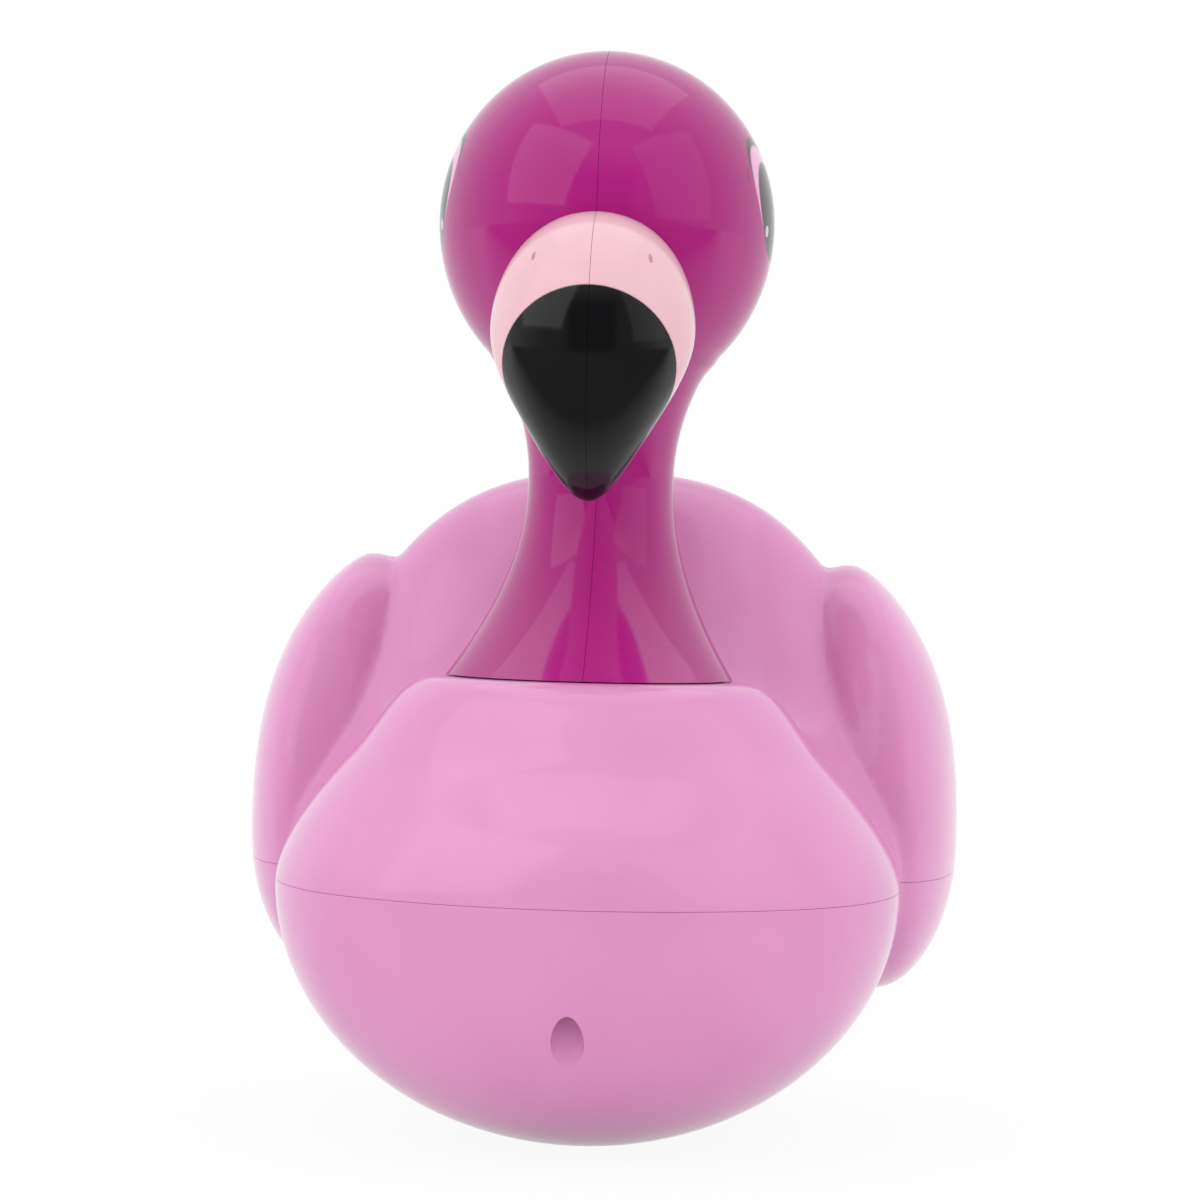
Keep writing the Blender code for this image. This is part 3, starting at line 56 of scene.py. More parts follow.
nearest = 0.000001   # points closer than this are one
sides = (("left", 1), ("right", -1))
helpers = []    # cutters and forms that are removed at the end
print("frame loaded with", len(nodes), "solids")


# small tools

def linear(hexText):   # a screen colour in the linear values that shaders take
    parts = [int(hexText[i:i + 2], 16) / 255 for i in (1, 3, 5)]
    return [c / 12.92 if c <= 0.04045 else ((c + 0.055) / 1.055) ** 2.4 for c in parts] + [1.0]


def ease(share):
    share = min(1.0, max(0.0, share))
    return share * share * (3 - 2 * share)


def roundness(share):   # half width of a unit circle at a place along it
    return math.sqrt(max(0.0, 1 - share * share))


def smoothCurve(places, values):   # natural cubic through a few given values
    places = np.array(places)
    values = np.array(values)
    count = len(places)
    gaps = np.diff(places)
    slopes = np.diff(values) / gaps
    system = np.eye(count)
    change = np.zeros(count)
    for i in range(1, count - 1):
        system[i, i - 1:i + 2] = (gaps[i - 1], 2 * (gaps[i - 1] + gaps[i]), gaps[i])
        change[i] = 6 * (slopes[i] - slopes[i - 1])
    bends = np.linalg.solve(system, change)

    def at(place):
        i = int(np.clip(np.searchsorted(places, place) - 1, 0, count - 2))
        step = gaps[i]
        ahead = places[i + 1] - place
        behind = place - places[i]
        bend = (bends[i] * ahead ** 3 + bends[i + 1] * behind ** 3) / (6 * step)
        first = (values[i] / step - bends[i] * step / 6) * ahead
        second = (values[i + 1] / step - bends[i + 1] * step / 6) * behind
        return float(bend + first + second)

    return at


def meshPiece(name, bm, helper=False):
    mesh = bpy.data.meshes.new(name)
    bm.to_mesh(mesh)
    bm.free()
    piece = bpy.data.objects.new(name, mesh)
    scene.collection.objects.link(piece)
    if helper:
        helpers.append(piece)
    return piece


def applied(piece):   # makes the modifiers real
    bpy.context.view_layer.update()
    graph = bpy.context.evaluated_depsgraph_get()
    mesh = bpy.data.meshes.new_from_object(piece.evaluated_get(graph))
    piece.modifiers.clear()
    piece.data = mesh
    return piece


def combine(piece, other, operation):
    change = piece.modifiers.new(operation.lower(), "BOOLEAN")
    change.operation = operation
    change.solver = "MANIFOLD"
    change.object = other
    return applied(piece)


def cut(piece, *others):
    for other in others:
        combine(piece, other, "DIFFERENCE")
    return piece


def copyOf(piece, name):
    twin = piece.copy()
    twin.data = piece.data.copy()
    twin.name = name
    scene.collection.objects.link(twin)
    return twin


def box(low, high):
    bm = bmesh.new()
    bmesh.ops.create_cube(bm, size=1.0)
    bmesh.ops.scale(bm, vec=Vector(high) - Vector(low), verts=bm.verts)
    bmesh.ops.translate(bm, vec=(Vector(low) + Vector(high)) / 2, verts=bm.verts)
    return meshPiece("box", bm, helper=True)


def rodInto(bm, start, end, radius, endRadius=None, steps=40):
    start = Vector(start)
    along = Vector(end) - start
    turn = Vector((0, 0, 1)).rotation_difference(along).to_matrix().to_4x4()
    bmesh.ops.create_cone(bm, cap_ends=True, segments=steps, radius1=radius,
                          radius2=radius if endRadius is None else endRadius, depth=along.length,
                          matrix=Matrix.Translation(start + along / 2) @ turn)


def rod(start, end, radius, endRadius=None, steps=40):
    bm = bmesh.new()
    rodInto(bm, start, end, radius, endRadius, steps)
    return meshPiece("rod", bm, helper=True)


def spun(profile, steps=64):   # a profile of (radius, height) turned round Z
    bm = bmesh.new()
    points = [bm.verts.new((radius, 0.0, height)) for radius, height in profile]
    edges = [bm.edges.new(pair) for pair in zip(points, points[1:])]
    bmesh.ops.spin(bm, geom=points + edges, cent=(0, 0, 0), axis=(0, 0, 1), angle=2 * math.pi,
                   steps=steps, use_merge=True)
    bmesh.ops.remove_doubles(bm, verts=bm.verts, dist=nearest)
    bmesh.ops.recalc_face_normals(bm, faces=bm.faces)
    return bm


def formed(around, along, point):   # a sphere lying along Y, moved to a form
    bm = bmesh.new()
    bmesh.ops.create_uvsphere(bm, u_segments=around, v_segments=along, radius=1.0)
    for vert in bm.verts:
        share = min(1.0, max(-1.0, vert.co.z))
        angle = math.atan2(vert.co.y, vert.co.x) + math.pi / around
        vert.co = point(share, math.cos(angle), math.sin(angle))
    if bm.calc_volume(signed=True) < 0:
        bmesh.ops.reverse_faces(bm, faces=bm.faces)
    return bm


def layBack(bm, x, y, z):   # what was turned round Z then lies along Y
    bm.transform(Matrix.Translation((x, y, z)) @ Matrix.Rotation(math.pi / 2, 4, "X"))


def roundedPlate(half, corner, bottom, top, y, segments=8):
    bm = bmesh.new()
    bmesh.ops.create_cube(bm, size=2.0)
    bmesh.ops.scale(bm, vec=(*half, (top - bottom) / 2), verts=bm.verts)
    upright = [edge for edge in bm.edges if abs(edge.verts[0].co.z - edge.verts[1].co.z) > (top - bottom) / 2]
    bmesh.ops.bevel(bm, geom=upright, offset=corner, segments=segments, profile=0.5, affect="EDGES",
                    material=-1)
    bmesh.ops.translate(bm, vec=(0, y, (top + bottom) / 2), verts=bm.verts)
    return meshPiece("plate", bm, helper=True)


def pour(target, bm):   # adds one bmesh to another
    mesh = bpy.data.meshes.new("pour")
    bm.to_mesh(mesh)
    bm.free()
    target.from_mesh(mesh)
    bpy.data.meshes.remove(mesh)


def halve(bm, point, normal):   # keeps what lies on the far side of a plane
    everything = bm.verts[:] + bm.edges[:] + bm.faces[:]
    bmesh.ops.bisect_plane(bm, geom=everything, plane_co=point, plane_no=normal, clear_inner=True)


def cleaned(piece):   # cutting and rounding leave slivers and doubled points
    bm = bmesh.new()
    bm.from_mesh(piece.data)
    bmesh.ops.remove_doubles(bm, verts=bm.verts, dist=2 * nearest)
    bmesh.ops.dissolve_degenerate(bm, edges=bm.edges, dist=2 * nearest)
    bm.to_mesh(piece.data)
    bm.free()
    return piece


def finish(piece, name, slot, body, *replaced, sharp=38):
    cleaned(piece)
    piece.name = name
    piece.data.name = name
    piece.data.materials.clear()
    piece.data.materials.append(slotMaterials[slot])
    piece.data.shade_smooth()
    piece.data.set_sharp_from_angle(angle=math.radians(sharp))
    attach(piece, body)
    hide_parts(*replaced)
    if piece in helpers:
        helpers.remove(piece)
    return piece


# materials

def addNode(tree, kind, settings=None, **links):   # one node, its settings and what feeds it
    node = tree.nodes.new("ShaderNode" + kind)
    for key, value in (settings or {}).items():
        if hasattr(node, key):
            setattr(node, key, value)
        else:
            node.inputs[int(key[2:]) if key.startswith("in") else key].default_value = value
    for key, source in links.items():
        socket = node.inputs[int(key[2:])] if key.startswith("in") else node.inputs[key.replace("_", " ")]
        tree.links.new(source, socket)
    return node


def startMaterial(name):
    material = bpy.data.materials.new(name)
    material.use_nodes = True
    tree = material.node_tree
    shader = tree.nodes["Principled BSDF"]
    place = addNode(tree, "TexCoord").outputs["Object"]
    return material, tree, shader, place


def perMm(millimetres):   # noise scale that gives features of about this size
    return 1000.0 / millimetres


def speckle(tree, place, millimetres, detail=2.0, roughness=0.5, stretch=None):
    if stretch:
        place = addNode(tree, "Mapping", {"Scale": stretch}, Vector=place).outputs[0]
    settings = {"Scale": perMm(millimetres), "Detail": detail, "Roughness": roughness}
    return addNode(tree, "TexNoise", settings, Vector=place).outputs["Fac"]


def spread(tree, source, fromLow, fromHigh, toLow=0.0, toHigh=1.0):
    settings = {"From Min": fromLow, "From Max": fromHigh, "To Min": toLow, "To Max": toHigh, "clamp": True}
    return addNode(tree, "MapRange", settings, Value=source).outputs[0]


def mixColours(tree, factor, first, second):
    mix = addNode(tree, "Mix", {"data_type": "RGBA"})
    tree.links.new(factor, mix.inputs[0])
    for socket, value in ((mix.inputs[6], first), (mix.inputs[7], second)):
        if isinstance(value, list):
            socket.default_value = value
        else:
            tree.links.new(value, socket)
    return mix.outputs[2]


def calculate(tree, operation, first, second):
    return addNode(tree, "Math", {"operation": operation}, in0=first, in1=second).outputs[0]


def addBump(tree, shader, height, strength, depth):
    bump = addNode(tree, "Bump", {"Strength": strength, "Distance": depth}, Height=height)
    tree.links.new(bump.outputs[0], shader.inputs["Normal"])


noiseSpan = (0.3, 0.7)   # where most values of a noise lie
plasticLook = {
    "cloudMm": 45.0,     # slow drift in the moulded colour
    "peelMm": 2.2,       # orange peel of a polished mould; drawn coarser than life so that it shows
    "peelDepth": 0.000012, "peelStrength": 0.35,
    "scuffMm": 1.6,      # fine handling scratches, seen only in the gloss
    "scuffStretch": (1.0, 0.16, 1.0), "scuffSpan": (0.52, 0.72), "scuffDetail": (5.0, 0.62),
    "patchMm": 28.0, "patchSpan": (0.42, 0.68),   # where the scratches gather
    "refraction": 1.52,
}


def mouldedPlastic(name, colour, shade, gloss, scuff=0.10, paint=None):
    # injection-moulded ABS from a polished tool: an even colour, a wet gloss, faint peel and hair scratches
    look = plasticLook
    material, tree, shader, place = startMaterial(name)
    cloud = spread(tree, speckle(tree, place, look["cloudMm"]), *noiseSpan)
    tint = mixColours(tree, cloud, linear(colour), linear(shade))
    if paint:
        tint = paint(tree, place, tint)
    tree.links.new(tint, shader.inputs["Base Color"])
    scratches = speckle(tree, place, look["scuffMm"], *look["scuffDetail"], look["scuffStretch"])
    patches = spread(tree, speckle(tree, place, look["patchMm"]), *look["patchSpan"])
    marks = spread(tree, scratches, *look["scuffSpan"])
    worn = calculate(tree, "MULTIPLY", patches, marks)
    tree.links.new(spread(tree, worn, 0.0, 1.0, gloss, gloss + scuff), shader.inputs["Roughness"])
    peel = speckle(tree, place, look["peelMm"], 1.0)
    addBump(tree, shader, peel, look["peelStrength"], look["peelDepth"])
    shader.inputs["IOR"].default_value = look["refraction"]
    return material


grainLook = {
    "cloudMm": 9.0, "detail": (3.0, 0.6), "smoother": 0.06, "rougher": 0.08,
    "strength": 0.4, "depth": 0.00004,
}


def grainedPlastic(name, colour, shade, rough, grainMm=0.7):
    # nylon or polypropylene from a spark-eroded tool: a dull satin with a fine even grain
    look = grainLook
    material, tree, shader, place = startMaterial(name)
    cloud = spread(tree, speckle(tree, place, look["cloudMm"]), *noiseSpan)
    tree.links.new(mixColours(tree, cloud, linear(colour), linear(shade)), shader.inputs["Base Color"])
    grain = speckle(tree, place, grainMm, *look["detail"])
    uneven = spread(tree, grain, *noiseSpan, rough - look["smoother"], rough + look["rougher"])
    tree.links.new(uneven, shader.inputs["Roughness"])
    addBump(tree, shader, grain, look["strength"], look["depth"])
    return material


metalLook = {
    "lineMm": 0.9, "detail": (4.0, 0.6), "smoother": 0.08, "rougher": 0.12,
    "strength": 0.25, "depth": 0.00002, "stainMm": 6.0, "stainSpan": (0.35, 0.7),
}


def bareMetal(name, colour, shade, rough, stretch):
    # drawn or plated metal: fine lines along the drawing direction, duller where it is handled
    look = metalLook
    material, tree, shader, place = startMaterial(name)
    lines = speckle(tree, place, look["lineMm"], *look["detail"], stretch)
    stain = spread(tree, speckle(tree, place, look["stainMm"]), *look["stainSpan"])
    tree.links.new(mixColours(tree, stain, linear(colour), linear(shade)), shader.inputs["Base Color"])
    uneven = spread(tree, lines, *noiseSpan, rough - look["smoother"], rough + look["rougher"])
    tree.links.new(uneven, shader.inputs["Roughness"])
    addBump(tree, shader, lines, look["strength"], look["depth"])
    shader.inputs["Metallic"].default_value = 1.0
    return material


rubberLook = {
    "dustMm": 3.0, "dustDetail": 4.0, "dustSpan": (0.45, 0.75), "rough": (0.62, 0.85),
    "grainMm": 0.6, "strength": 0.3, "depth": 0.00003,
}


def softRubber(name, colour, shade):
    # moulded silicone seal: matt, a little dusty
    look = rubberLook
    material, tree, shader, place = startMaterial(name)
    dust = spread(tree, speckle(tree, place, look["dustMm"], look["dustDetail"]), *look["dustSpan"])
    tree.links.new(mixColours(tree, dust, linear(colour), linear(shade)), shader.inputs["Base Color"])
    tree.links.new(spread(tree, dust, 0.0, 1.0, *look["rough"]), shader.inputs["Roughness"])
    addBump(tree, shader, speckle(tree, place, look["grainMm"]), look["strength"], look["depth"])
    return material


eyePrint = {
    "middle": (-0.0275, 0.2349), "half": (0.0112, 0.0135),   # black oval, along the head and up
    "rim": (-0.0275, 0.2365), "rimHalf": (0.0120, 0.0164),   # pale oval that peeps out in front
    "lid": (-0.0275, 0.2387),                                # black lid line over it, of the same size
    "lean": 30.0,                                            # degrees, tops towards the beak
    "flick": (-0.0426, 0.2436), "flickHalf": (0.0004, 0.0024), "flickLean": -28.0,
    "dot": (-0.0348, 0.2300), "dotHalf": (0.0012, 0.0015),
    "edge": 0.05,        # softness of the printed edge, as a share of the size
    "sideOnly": 0.018,   # nothing is printed nearer the middle than this
}


def ovalMask(tree, place, middle, half, lean):   # 1 inside a printed oval seen from the side
    steps = (("Location", (0.0, -middle[0], -middle[1])), ("Rotation", (math.radians(-lean), 0.0, 0.0)),
             ("Scale", (0.0, 1 / half[0], 1 / half[1])))
    for kind, values in steps:
        place = addNode(tree, "Mapping", {kind: values}, Vector=place).outputs[0]
    size = addNode(tree, "VectorMath", {"operation": "LENGTH"}, in0=place).outputs["Value"]
    return spread(tree, size, 1.0 - eyePrint["edge"], 1.0, 1.0, 0.0)


def printEyes(tree, place, tint):   # pad-printed eyes: lid line with a flick, pale rim, black oval, light dot
    look = eyePrint
    apart = addNode(tree, "SeparateXYZ", Vector=place)
    side = addNode(tree, "Math", {"operation": "ABSOLUTE"}, in0=apart.outputs["X"]).outputs[0]
    settings = {"operation": "GREATER_THAN", "in1": look["sideOnly"]}
    onSide = addNode(tree, "Math", settings, in0=side).outputs[0]
    ovals = (
        (look["flick"], look["flickHalf"], look["flickLean"], "#8a0f5e"),
        (look["lid"], look["rimHalf"], look["lean"], "#17100f"),
        (look["rim"], look["rimHalf"], look["lean"], "#e8a6ce"),
        (look["middle"], look["half"], look["lean"], "#100d0f"),
        (look["dot"], look["dotHalf"], 0.0, "#dfb9d2"),
    )
    for middle, half, lean, ink in ovals:
        shown = calculate(tree, "MULTIPLY", ovalMask(tree, place, middle, half, lean), onSide)
        tint = mixColours(tree, shown, tint, linear(ink))
    return tint


# screen colours, roughness, then the depth of the scratches, the grain in mm or the stretch of drawn lines
slotMaterials = {
    "pink_plastic": mouldedPlastic("pink gloss ABS", "#e097c6", "#da8fc0", 0.12, 0.10),
    "magenta_plastic": mouldedPlastic("magenta gloss ABS", "#ad1f7f", "#a41b77", 0.07, 0.06, paint=printEyes),
    "pale_pink_plastic": mouldedPlastic("pale pink gloss ABS", "#e9bdc6", "#e5b5bf", 0.16, 0.10),
    "black_plastic": mouldedPlastic("black gloss ABS", "#0e0c0e", "#131113", 0.10, 0.08),
    "grey_plastic": grainedPlastic("grey nylon", "#6d6a70", "#5f5c63", 0.46),
    "white_plastic": grainedPlastic("white nylon", "#e6e4de", "#d9d6cf", 0.42),
    "rubber": softRubber("black silicone rubber", "#1d1c1d", "#2e2c2c"),
    "steel": bareMetal("zinc-plated steel", "#c2c4c6", "#a9abad", 0.30, (1.0, 0.1, 1.0)),
    "brass": bareMetal("drawn brass", "#d3b060", "#b3904a", 0.30, (1.0, 0.1, 1.0)),
    "cell_wrap": grainedPlastic("shrink-wrapped cell", "#3a3d44", "#32353b", 0.36, 1.5),
    "board_green": grainedPlastic("green board laminate", "#2a6b41", "#245d39", 0.40, 0.5),
    "red_wire": grainedPlastic("red PVC insulation", "#b02323", "#9c1f1f", 0.42),
}
for subpart in frame["record"]["subparts"]:
    solid = nodes[subpart["node"]].data
    solid.materials.clear()
    solid.materials.append(slotMaterials[subpart["material_slot"]])
print("materials made:", len(slotMaterials))


# neck and head

head = {
    "seatZ": 0.118, "seatY": -0.053, "seatHalfWidth": 0.0358, "seatHalfDepth": 0.026,
    "waistZ": 0.167, "waistY": -0.023, "waistRadius": 0.0184, "topFlare": 0.0088, "topZ": 0.197,
    "middleZ": 0.2314, "radius": 0.0424, "up": 0.0437, "down": 0.0455, "depthRatio": 1.04,
    "blend": 0.0035, "wall": 0.0024, "spigot": 0.0290, "spigotLength": 0.003,
    "facets": (150, 144), "cutFacets": (110, 120), "seamGap": 0.00005, "seamRound": 0.0002,
}


def headRadius(z):   # a waisted neck under a ball, run together
    h = head
    if z < h["waistZ"]:
        share = (h["waistZ"] - z) / (h["waistZ"] - h["seatZ"])
        neck = h["waistRadius"] + (h["seatHalfWidth"] - h["waistRadius"]) * share ** 2
    else:
        share = (z - h["waistZ"]) / (h["topZ"] - h["waistZ"])
        neck = h["waistRadius"] + h["topFlare"] * share ** 2 if z < h["topZ"] else 0.0
    reach = h["up"] if z > h["middleZ"] else h["down"]
    ball = h["radius"] * roundness((z - h["middleZ"]) / reach)
    if ball == 0.0 or neck == 0.0:
        return max(neck, ball)
    overlap = max(0.0, h["blend"] - abs(neck - ball)) / h["blend"]
    return max(neck, ball) + h["blend"] * overlap ** 2 / 4


def headForm(swell, rings, steps, closed):   # the bird's neck and head, swollen a little where it is a cutter
    h = head
    top = h["middleZ"] + h["up"]
    bottom = h["seatZ"] + gap
    profile = [(0.0, top + swell)]
    for i in range(1, rings + 1):
        turn = math.pi * i / rings
        z = bottom + (top - bottom) * (0.5 + 0.5 * math.cos(turn)) if i < rings else bottom
        profile.append((headRadius(z) + swell, z))
    if closed:
        profile.append((0.0, bottom))
    else:
        profile += [(h["spigot"], bottom), (h["spigot"], bottom - h["spigotLength"])]
    bm = spun(profile, steps)
    footRatio = h["seatHalfDepth"] / h["seatHalfWidth"]
    for vert in bm.verts:   # the neck leans and its foot is an oval
        z = vert.co.z
        lean = max(0.0, min(1.0, (h["waistZ"] - z) / (h["waistZ"] - h["seatZ"])))
        centre = h["waistY"] + (h["seatY"] - h["waistY"]) * lean ** 2
        ratio = 1 + (h["depthRatio"] - 1) * ease((z - h["topZ"]) / (h["middleZ"] - h["topZ"]))
        ratio += (footRatio - 1) * lean ** 2
        vert.co.y = vert.co.y * ratio + centre
    return bm


def roundSeam(piece, width, angle=55, segments=2):   # a fine rounded edge that catches the light
    soften = piece.modifiers.new("seam round", "BEVEL")
    soften.width = width
    soften.segments = segments
    soften.limit_method = "ANGLE"
    soften.angle_limit = math.radians(angle)
    return applied(piece)


for name, side in sides:
    bm = headForm(0.0, *head["facets"], closed=False)
    halve(bm, (side * head["seamGap"], 0, 0), (side, 0, 0))
    half = meshPiece("half", bm)
    wall = half.modifiers.new("wall", "SOLIDIFY")
    wall.thickness = head["wall"]
    wall.offset = -1.0
    applied(half)
    roundSeam(half, head["seamRound"])
    finish(half, "neck_and_head_" + name, "magenta_plastic", "toy", "head_" + name)
print("neck and head halves made")


# beak

beak = {
    "root": (-0.0420, 0.2175), "bend": (-0.0880, 0.2126), "tip": (-0.0745, 0.1622),   # along and up
    # share of the length, half width, half height
    "stations": ((0.00, 0.0290, 0.0260), (0.25, 0.0262, 0.0255), (0.50, 0.0248, 0.0205),
                 (0.70, 0.0221, 0.0160), (0.85, 0.0184, 0.0146), (1.00, 0.0150, 0.0118)),
    "edgeTop": (-0.0905, 0.2160), "edgeSide": (-0.0781, 0.1849),
    "around": 144, "along": 120, "seamRound": 0.0002,
    # place along the beak and degrees up its side, half sizes, degrees of tilt and turn
    "nostril": (-0.25, 55.0), "nostrilHalf": (0.0006, 0.0010, 0.0015), "nostrilLean": (-25.0, 18.0),
    "nostrilFacets": (24, 16),
}
beakPlaces, beakWidths, beakHeights = zip(*beak["stations"])
beakWidth = smoothCurve(beakPlaces, beakWidths)
beakHeight = smoothCurve(beakPlaces, beakHeights)


def beakPoint(share, across, up):
    t = (share + 1) / 2
    girth = roundness(share)
    root, bend, tip = Vector(beak["root"]), Vector(beak["bend"]), Vector(beak["tip"])
    middle = root * (1 - t) ** 2 + bend * (2 * t * (1 - t)) + tip * t ** 2
    along = ((bend - root) * (1 - t) + (tip - bend) * t).normalized()
    normal = Vector((along.y, -along.x))
    lift = beakHeight(t) * girth * up
    return Vector((beakWidth(t) * girth * across, middle.x + normal.x * lift, middle.y + normal.y * lift))


beakSolid = meshPiece("beak", formed(beak["around"], beak["along"], beakPoint), helper=True)
face = headForm(gap / 2, *head["cutFacets"], closed=True)
cut(beakSolid, meshPiece("face", face, helper=True))
for side in (1, -1):   # shallow nostril dents
    share, angle = beak["nostril"][0], math.radians(beak["nostril"][1])
    spot = beakPoint(share, side * math.cos(angle), math.sin(angle))
    tilt, turn = (math.radians(degrees) for degrees in beak["nostrilLean"])
    lean = Matrix.Rotation(tilt, 4, "X") @ Matrix.Rotation(side * turn, 4, "Z")
    around, along = beak["nostrilFacets"]
    bm = bmesh.new()
    bmesh.ops.create_uvsphere(bm, u_segments=around, v_segments=along, radius=1.0)
    bm.transform(Matrix.Translation(spot) @ lean @ Matrix.Diagonal((*beak["nostrilHalf"], 1)))
    cut(beakSolid, meshPiece("nostril", bm, helper=True))

edgeTop = Vector((0, *beak["edgeTop"]))
edgeUp = (edgeTop - Vector((0, *beak["edgeSide"]))).normalized()
edgeForward = Vector((0, -edgeUp.z, edgeUp.y))
edgePlay = edgeForward * gap / 3


def sliced(source, name, *planes):   # keeps what lies on the far side of each plane, with the cut closed
    bm = bmesh.new()
    bm.from_mesh(source.data)
    for point, normal in planes:
        halve(bm, point, normal)
        bmesh.ops.holes_fill(bm, edges=[edge for edge in bm.edges if edge.is_boundary], sides=0)
    return meshPiece(name, bm)


for name, side in sides:
    middle = (Vector((side * head["seamGap"], 0, 0)), Vector((side, 0, 0)))
    band = sliced(beakSolid, "band", (edgeTop - edgePlay, -edgeForward), middle)
    finish(roundSeam(band, beak["seamRound"]), "beak_root_" + name, "pale_pink_plastic", "toy",
           "beak_band_" + name)
    tip = sliced(beakSolid, "tip", (edgeTop + edgePlay, edgeForward), middle)
    finish(roundSeam(tip, beak["seamRound"]), "beak_hook_" + name, "black_plastic", "toy",
           "beak_tip_" + name)
print("beak made")


# hull with wings and tail

hull = {
    "seamZ": 0.066, "noseY": -0.114, "sternY": 0.104, "seatBlend": 0.6, "wall": 0.0026,
    # along, half breadth, height over the seam, depth under it, fullness of the top
    "stations": (
        (-0.099, 0.0490, 0.0270, 0.0400, 1.60),
        (-0.079, 0.0680, 0.0520, 0.0560, 1.50),
        (-0.046, 0.0780, 0.0660, 0.0655, 1.50),
        (-0.027, 0.0785, 0.0530, 0.0667, 1.70),
        (-0.009, 0.0775, 0.0600, 0.0695, 2.10),
        (0.021, 0.0760, 0.0985, 0.0720, 2.50),
        (0.056, 0.0670, 0.0955, 0.0668, 2.45),
        (0.086, 0.0460, 0.0720, 0.0380, 2.30),
    ),
    "seatFrom": 0.3, "keelFullness": 2.0, "facets": (120, 100),
    "fine": (0.0012, 10), "coarse": (0.0026, 2), "easeFactor": 0.5,   # voxel size and rounds of smoothing
    "rebate": 0.0013, "rebateHalf": 0.0011, "seamGap": 0.00005, "seamRound": 0.00025,
}
wings = {
    "frontY": -0.016, "tipY": 0.078, "x": 0.0780, "z": 0.074, "bulge": 0.015, "innerBulge": 0.036,
    "topLean": 0.0145, "footLean": 0.007, "tipTuck": 0.026,   # how far the edges and the rear tip draw in
    "up": 0.0715, "down": 0.040, "tipRise": 0.020, "spareWall": 0.003,
    "tipTaper": 1.5, "topFullness": 2.0, "footFullness": 2.5, "facets": (72, 56),
}
tail = {
    "rootY": 0.062, "tipY": 0.114, "rootZ": 0.108, "tipZ": 0.130, "halfWidth": 0.026, "halfHeight": 0.013,
    "thinning": 0.35, "facets": (56, 40),
}
screwHoles = {
    "places": {"front": (0.0, -0.104), "mid_left": (0.062, -0.008), "mid_right": (-0.062, -0.008),
               "rear_left": (0.052, 0.040), "rear_right": (-0.052, 0.040), "stern": (0.0, 0.083)},
    "radius": 0.004, "column": 0.0063, "floor": 0.0025, "shank": 0.00175,
    # in the upper moulding
    "boss": 0.0045, "bossHeight": 0.020, "rib": 0.0022, "pilot": 0.00145, "pilotDepth": 0.014,
}
drive = {
    "x": 0.026, "z": 0.0235, "tubeFront": 0.0735, "tubeRear": 0.0885, "tube": 0.003, "tubeBore": 0.0014,
    "tubeFrontEdge": 0.0002, "tubeRearEdge": 0.0003,
    "fairing": 0.006, "fairingInside": 0.004, "fairingShort": 0.002,
    "coupling": 0.0035, "couplingFront": 0.05, "motorFront": 0.036, "motorRear": 0.061, "motor": 0.010,
    "cradleHalf": 0.0128, "cradle": (0.0435, 0.0535),
}
bay = {
    "y": 0.003, "halfWidth": 0.0226, "halfLength": 0.0295, "top": 0.0208, "wall": 0.0022,
    "coverHalf": (0.0245, 0.0325), "corner": 0.005, "tab": 0.007, "tabReach": 0.034,
    "coverBottom": 0.0004, "coverTop": 0.0042, "recessTop": 0.0054, "recessWall": 0.003, "edgeRound": 0.0004,
    "wellFrom": 0.001, "tabPilot": 0.008, "panelHalf": (0.019, 0.027), "panelCorner": 0.003,
    "panelFrom": 0.0020, "screwSeat": 0.0034, "screwSeatTop": 0.0026,
}
hullMiddle = (hull["noseY"] + hull["sternY"]) / 2
hullHalf = (hull["sternY"] - hull["noseY"]) / 2
reach = 2 * hullHalf   # well past the hull on every side
seamZ = hull["seamZ"]
seatZ = head["seatZ"]
screwPlaces = screwHoles["places"].values()
tabEnds = (bay["y"] + bay["tabReach"], bay["y"] - bay["tabReach"])


def hullLines():
    shares = [(row[0] - hullMiddle) / hullHalf for row in hull["stations"]]
    lines = []
    for column in (1, 2, 3, 4):
        sizes = []
        for share, row in zip(shares, hull["stations"]):
            sizes.append(row[column] / (roundness(share) if column < 4 else 1))
        lines.append(smoothCurve([-1.0, *shares, 1.0], [sizes[0], *sizes, sizes[-1]]))
    return lines


hullBreadth, hullTop, hullKeel, hullFullness = hullLines()


def fuller(value, fullness):   # 2 leaves a circle, more squares it
    return math.copysign(abs(value) ** (2 / fullness), value)


def hullPoint(share, across, up, inset):
    girth = roundness(share)
    y = hullMiddle + (hullHalf - inset) * share
    fullness = hullFullness(share) if up > 0 else hull["keelFullness"]
    reach = hullTop(share) if up > 0 else hullKeel(share)
    x = (hullBreadth(share) - inset) * girth * fuller(across, fullness)
    z = seamZ + (reach - inset) * girth * fuller(up, fullness)
    if z > seamZ + hull["seatFrom"] * (seatZ - seamZ):   # drawn level round the neck
        away = math.hypot(x / head["seatHalfWidth"], (y - head["seatY"]) / head["seatHalfDepth"])
        z += (1 - ease((away - 1) / hull["seatBlend"])) * (seatZ - inset - z)
    return Vector((x, y, z))


